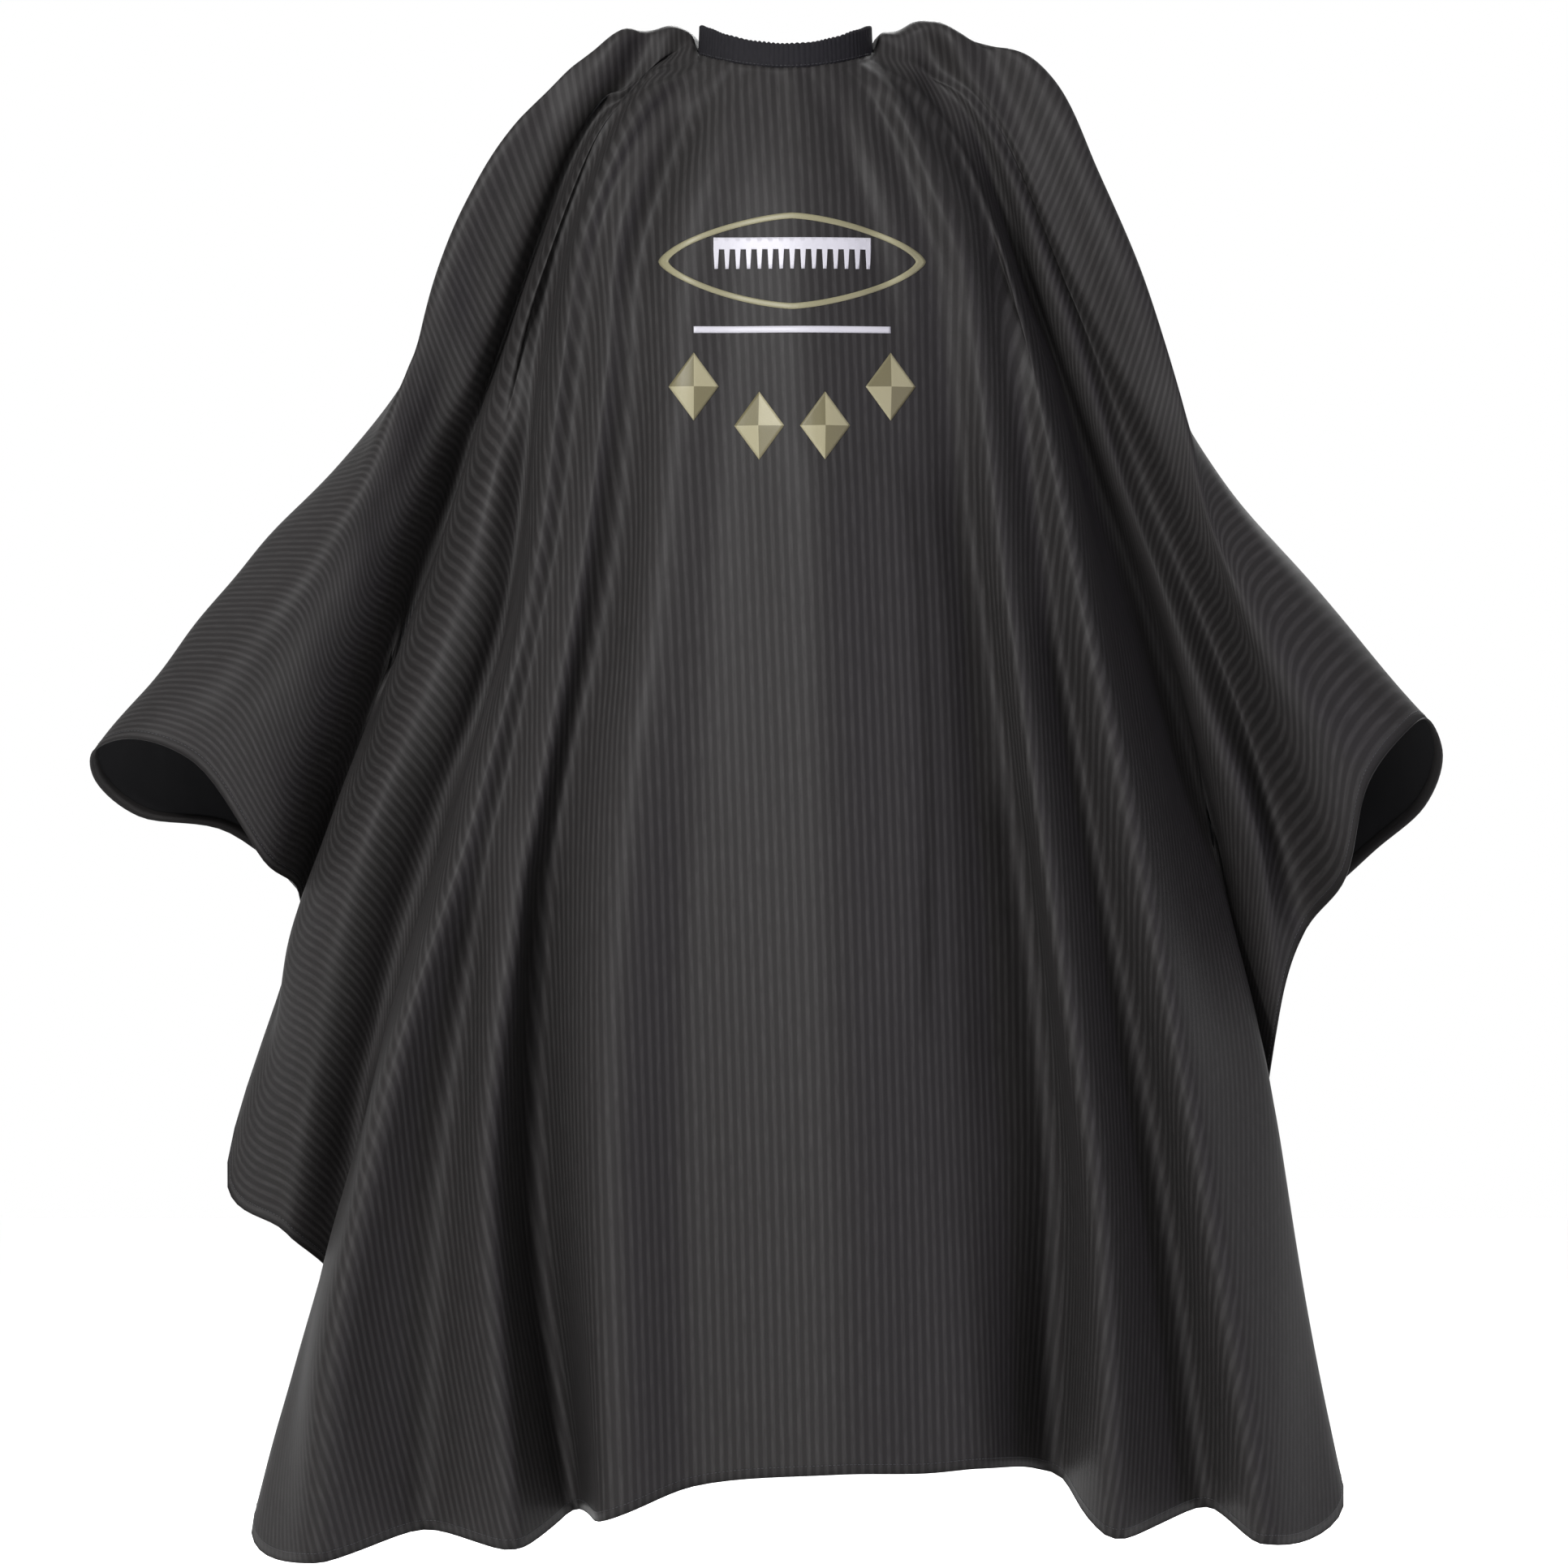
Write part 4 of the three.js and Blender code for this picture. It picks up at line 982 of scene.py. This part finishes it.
# Heat-pressed film: smooth vinyl with the cloth's weave just showing through as a fine unevenness. Its tones
# are darker than real film, because the lamps are strong enough to show folds in black cloth.
def film_material(name, dark, light):
    """Film in two tones that alternate between the quarters of a piece, as its own flat UV from -1 to 1
    tells.
    """
    made = new_material(name)
    across_piece, up_piece = split(made, flat_place(made))
    facet = arithmetic(made, "GREATER_THAN", arithmetic(made, "MULTIPLY", across_piece, up_piece), 0.0)
    grain = noise(made, object_place(made), 900.0, 2.0)
    return finish_material(made, {"Roughness": 0.5, "Specular IOR Level": 0.2},
                           Base_Color=two_tones(made, dark, light, facet),
                           Normal=bumped(made, grain, 0.2, 0.0003))


white_film = film_material("white_film", "#7b7a7f", "#7b7a7f")
gold_line_film = film_material("gold_line_film", "#524f3d", "#524f3d")
gold_film = film_material("gold_facet_film", "#3f3b29", "#5d5946")


def film(name, flat, material, cad_node, loops=False, crown=0.0, local=None):
    """A film piece from a grid of flat (x, z) points, laid on the chest. Its face may rise to a low crown."""
    outer = on_chest(flat, FILM_FACE + crown)
    inner = on_chest(flat, np.full(flat.shape[:-1], FILM_BACK))
    made = shell(name, outer, inner, [material], local if local is not None else flat * 0 + 0.5, loops)
    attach(made, "root")
    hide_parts(cad_node)


loop_turn = np.linspace(0, 2 * np.pi, 241)[:-1]
loop_x = np.sign(np.cos(loop_turn)) * np.abs(np.cos(loop_turn)) ** 1.35
loop_z = np.sign(np.sin(loop_turn)) * np.abs(np.sin(loop_turn)) ** 1.35
line_share = np.linspace(0, 4.5, 4)
outline_flat = np.stack([EMBLEM_X + loop_x[:, None] * (102 - 1.7 * line_share),
                         -166 + loop_z[:, None] * (37 - line_share)], -1)
film("outline_film", outline_flat, gold_line_film, "emblem_outline", loops=True)

TEETH = 15
tooth_pitch = 120 / (2 * TEETH - 1)
tooth_left = EMBLEM_X - 60 + 2 * tooth_pitch * np.arange(TEETH)
comb_x = (tooth_left[:, None] + np.array([0, 0.8, tooth_pitch / 2, tooth_pitch - 0.8, tooth_pitch])).ravel()
comb_low = np.tile([-157.0, -172, -172, -172, -157], TEETH)
comb_rows = np.linspace(0, 1, 7)
comb_flat = np.stack(np.broadcast_arrays(comb_x[:, None], -148 + (comb_low[:, None] + 148) * comb_rows), -1)
film("comb_film", comb_flat, white_film, "emblem_comb")

rule_x = EMBLEM_X + np.linspace(-75, 75, 76)
rule_flat = np.stack(np.broadcast_arrays(rule_x[:, None], np.array([-216.0, -218.5, -221])), -1)
film("rule_film", rule_flat, white_film, "emblem_rule")

side_share = np.linspace(-0.5, 0.5, 17)
lozenge_a, lozenge_b = np.meshgrid(side_share, side_share, indexing="ij")
lozenge_local = np.stack([lozenge_a - lozenge_b, lozenge_a + lozenge_b], -1)
crown = 1.6 * (1 - np.maximum(np.abs(lozenge_a), np.abs(lozenge_b)) * 2)
for k, place in enumerate((-1.5, -0.5, 0.5, 1.5), 1):
    drop = 30 if abs(place) < 1 else 0
    lozenge_flat = lozenge_local * np.array([19, 26]) + np.array([EMBLEM_X + 50 * place, -262 - drop])
    film(f"lozenge_film_{k}", lozenge_flat, gold_film, f"emblem_lozenge_{k}",
         crown=crown, local=lozenge_local)

# ----------------------------------------------------------------------------------------------------------
# Sewing thread: black polyester. Lockstitch runs along the hem, the two edges of the back opening, the neck
# seam and round the closure tab. Each stitch is one short low rounded bar, sunk at its ends.
# ----------------------------------------------------------------------------------------------------------
thread = new_material("polyester_thread")
thread_twist = noise(thread, object_place(thread), 2500.0, 1.0)
finish_material(thread, {"Roughness": 0.45, "Specular IOR Level": 0.3},
                Base_Color=two_tones(thread, "#0a0a0b", "#222226", thread_twist))
STITCH_GAP = 3.2
STITCH_HALF = 1.15
STITCH_RADIUS = 0.24


def stitches(name, runs):
    """One mesh of stitches spaced evenly along each run of (points, outward normals)."""
    blocks = []
    for points, outward in runs:
        walked = np.concatenate([[0], np.cumsum(np.linalg.norm(np.diff(points, axis=0), axis=1))])
        at = np.arange(STITCH_GAP / 2, walked[-1], STITCH_GAP)
        centre, up, ahead = (np.stack([np.interp(at + step, walked, grid[:, k]) for k in range(3)], -1)
                             for grid, step in ((points, 0), (outward, 0), (points, 0.5)))
        way = ahead - centre
        way /= np.linalg.norm(way, axis=1, keepdims=True)
        side = np.cross(way, up)
        side /= np.linalg.norm(side, axis=1, keepdims=True)
        up = np.cross(side, way)
        rings = []
        for reach, radius, rise in ((-1, 0.25, -0.25), (-0.6, 1, 0.25), (0.6, 1, 0.25), (1, 0.25, -0.25)):
            for turn_side, turn_up in ((1, 0), (0, 1), (-1, 0), (0, -1)):
                rings.append(centre + way * reach * STITCH_HALF
                             + up * (rise + turn_up * radius) * STITCH_RADIUS
                             + side * turn_side * radius * STITCH_RADIUS)
        blocks.append(np.stack(rings, 1))
    points = np.concatenate(blocks)
    j = np.arange(4)
    walls = np.concatenate([
        np.stack([r * 4 + j, r * 4 + (j + 1) % 4, r * 4 + 4 + (j + 1) % 4, r * 4 + 4 + j], -1)
        for r in range(3)])
    block = np.concatenate([walls, [[3, 2, 1, 0], [12, 13, 14, 15]]])
    faces = (np.arange(len(points))[:, None, None] * 16 + block).reshape(-1, 4)
    return build_mesh(name, points, faces, [thread])


def hem_run(first, last):
    """The line of stitches that holds the turned hem."""
    base, outward, _ = hem_frame(first, last, np.array([HEM_MM - 1.5]))
    return base[:, 0] + outward[:, 0] * 0.05, outward[:, 0]


def slit_run(edge, inwards):
    """A run of stitches 6 mm in from an edge of the back opening."""
    step = cloth[inwards] - cloth[edge]
    width = np.linalg.norm(step, axis=1, keepdims=True)
    return cloth[edge] + step * np.minimum(6 / width, 0.9), normals[edge]


def seam_run(start, end):
    """The line that joins the band to the cloth, just above the band's lower edge."""
    azimuths = np.linspace(start, end, int((end - start) * BAND_STEPS_PER_DEGREE) + 1)
    fold = pleats(azimuths, 1.6)
    radius = BAND_RADIUS + BAND_HALF + 0.75 * (fold - 0.6) + 0.1
    return around(azimuths, radius, band_foot(azimuths) + 1.6), around(azimuths, 1.0, 0.0)


last_column = len(places) - 1
tab_edge = []
for level in (-0.8, 0.8):
    tab_edge.append((around(tab_azimuths[3:-6], tab_inner[3:-6] + TAB_THICK * 0.94,
                            SNAP_Z + tab_half[3:-6] * level),
                     around(tab_azimuths[3:-6], 1.0, 0.0)))
thread_main = stitches("stitches", [hem_run(left_cut, right_cut), seam_run(-HINGE_AZIMUTH, HINGE_AZIMUTH)])
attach(thread_main, "root")
thread_left = stitches("stitches_back_left", [hem_run(0, left_cut), slit_run(0, 1),
                                              seam_run(-SLIT_AZIMUTH, -HINGE_AZIMUTH)])
body_blend(thread_left, -1)
thread_right = stitches("stitches_back_right",
                        [hem_run(right_cut, last_column), slit_run(last_column, last_column - 1),
                         seam_run(HINGE_AZIMUTH, SLIT_AZIMUTH)])
body_blend(thread_right, 1)
thread_tab = stitches("stitches_tab", tab_edge)
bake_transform(thread_tab)
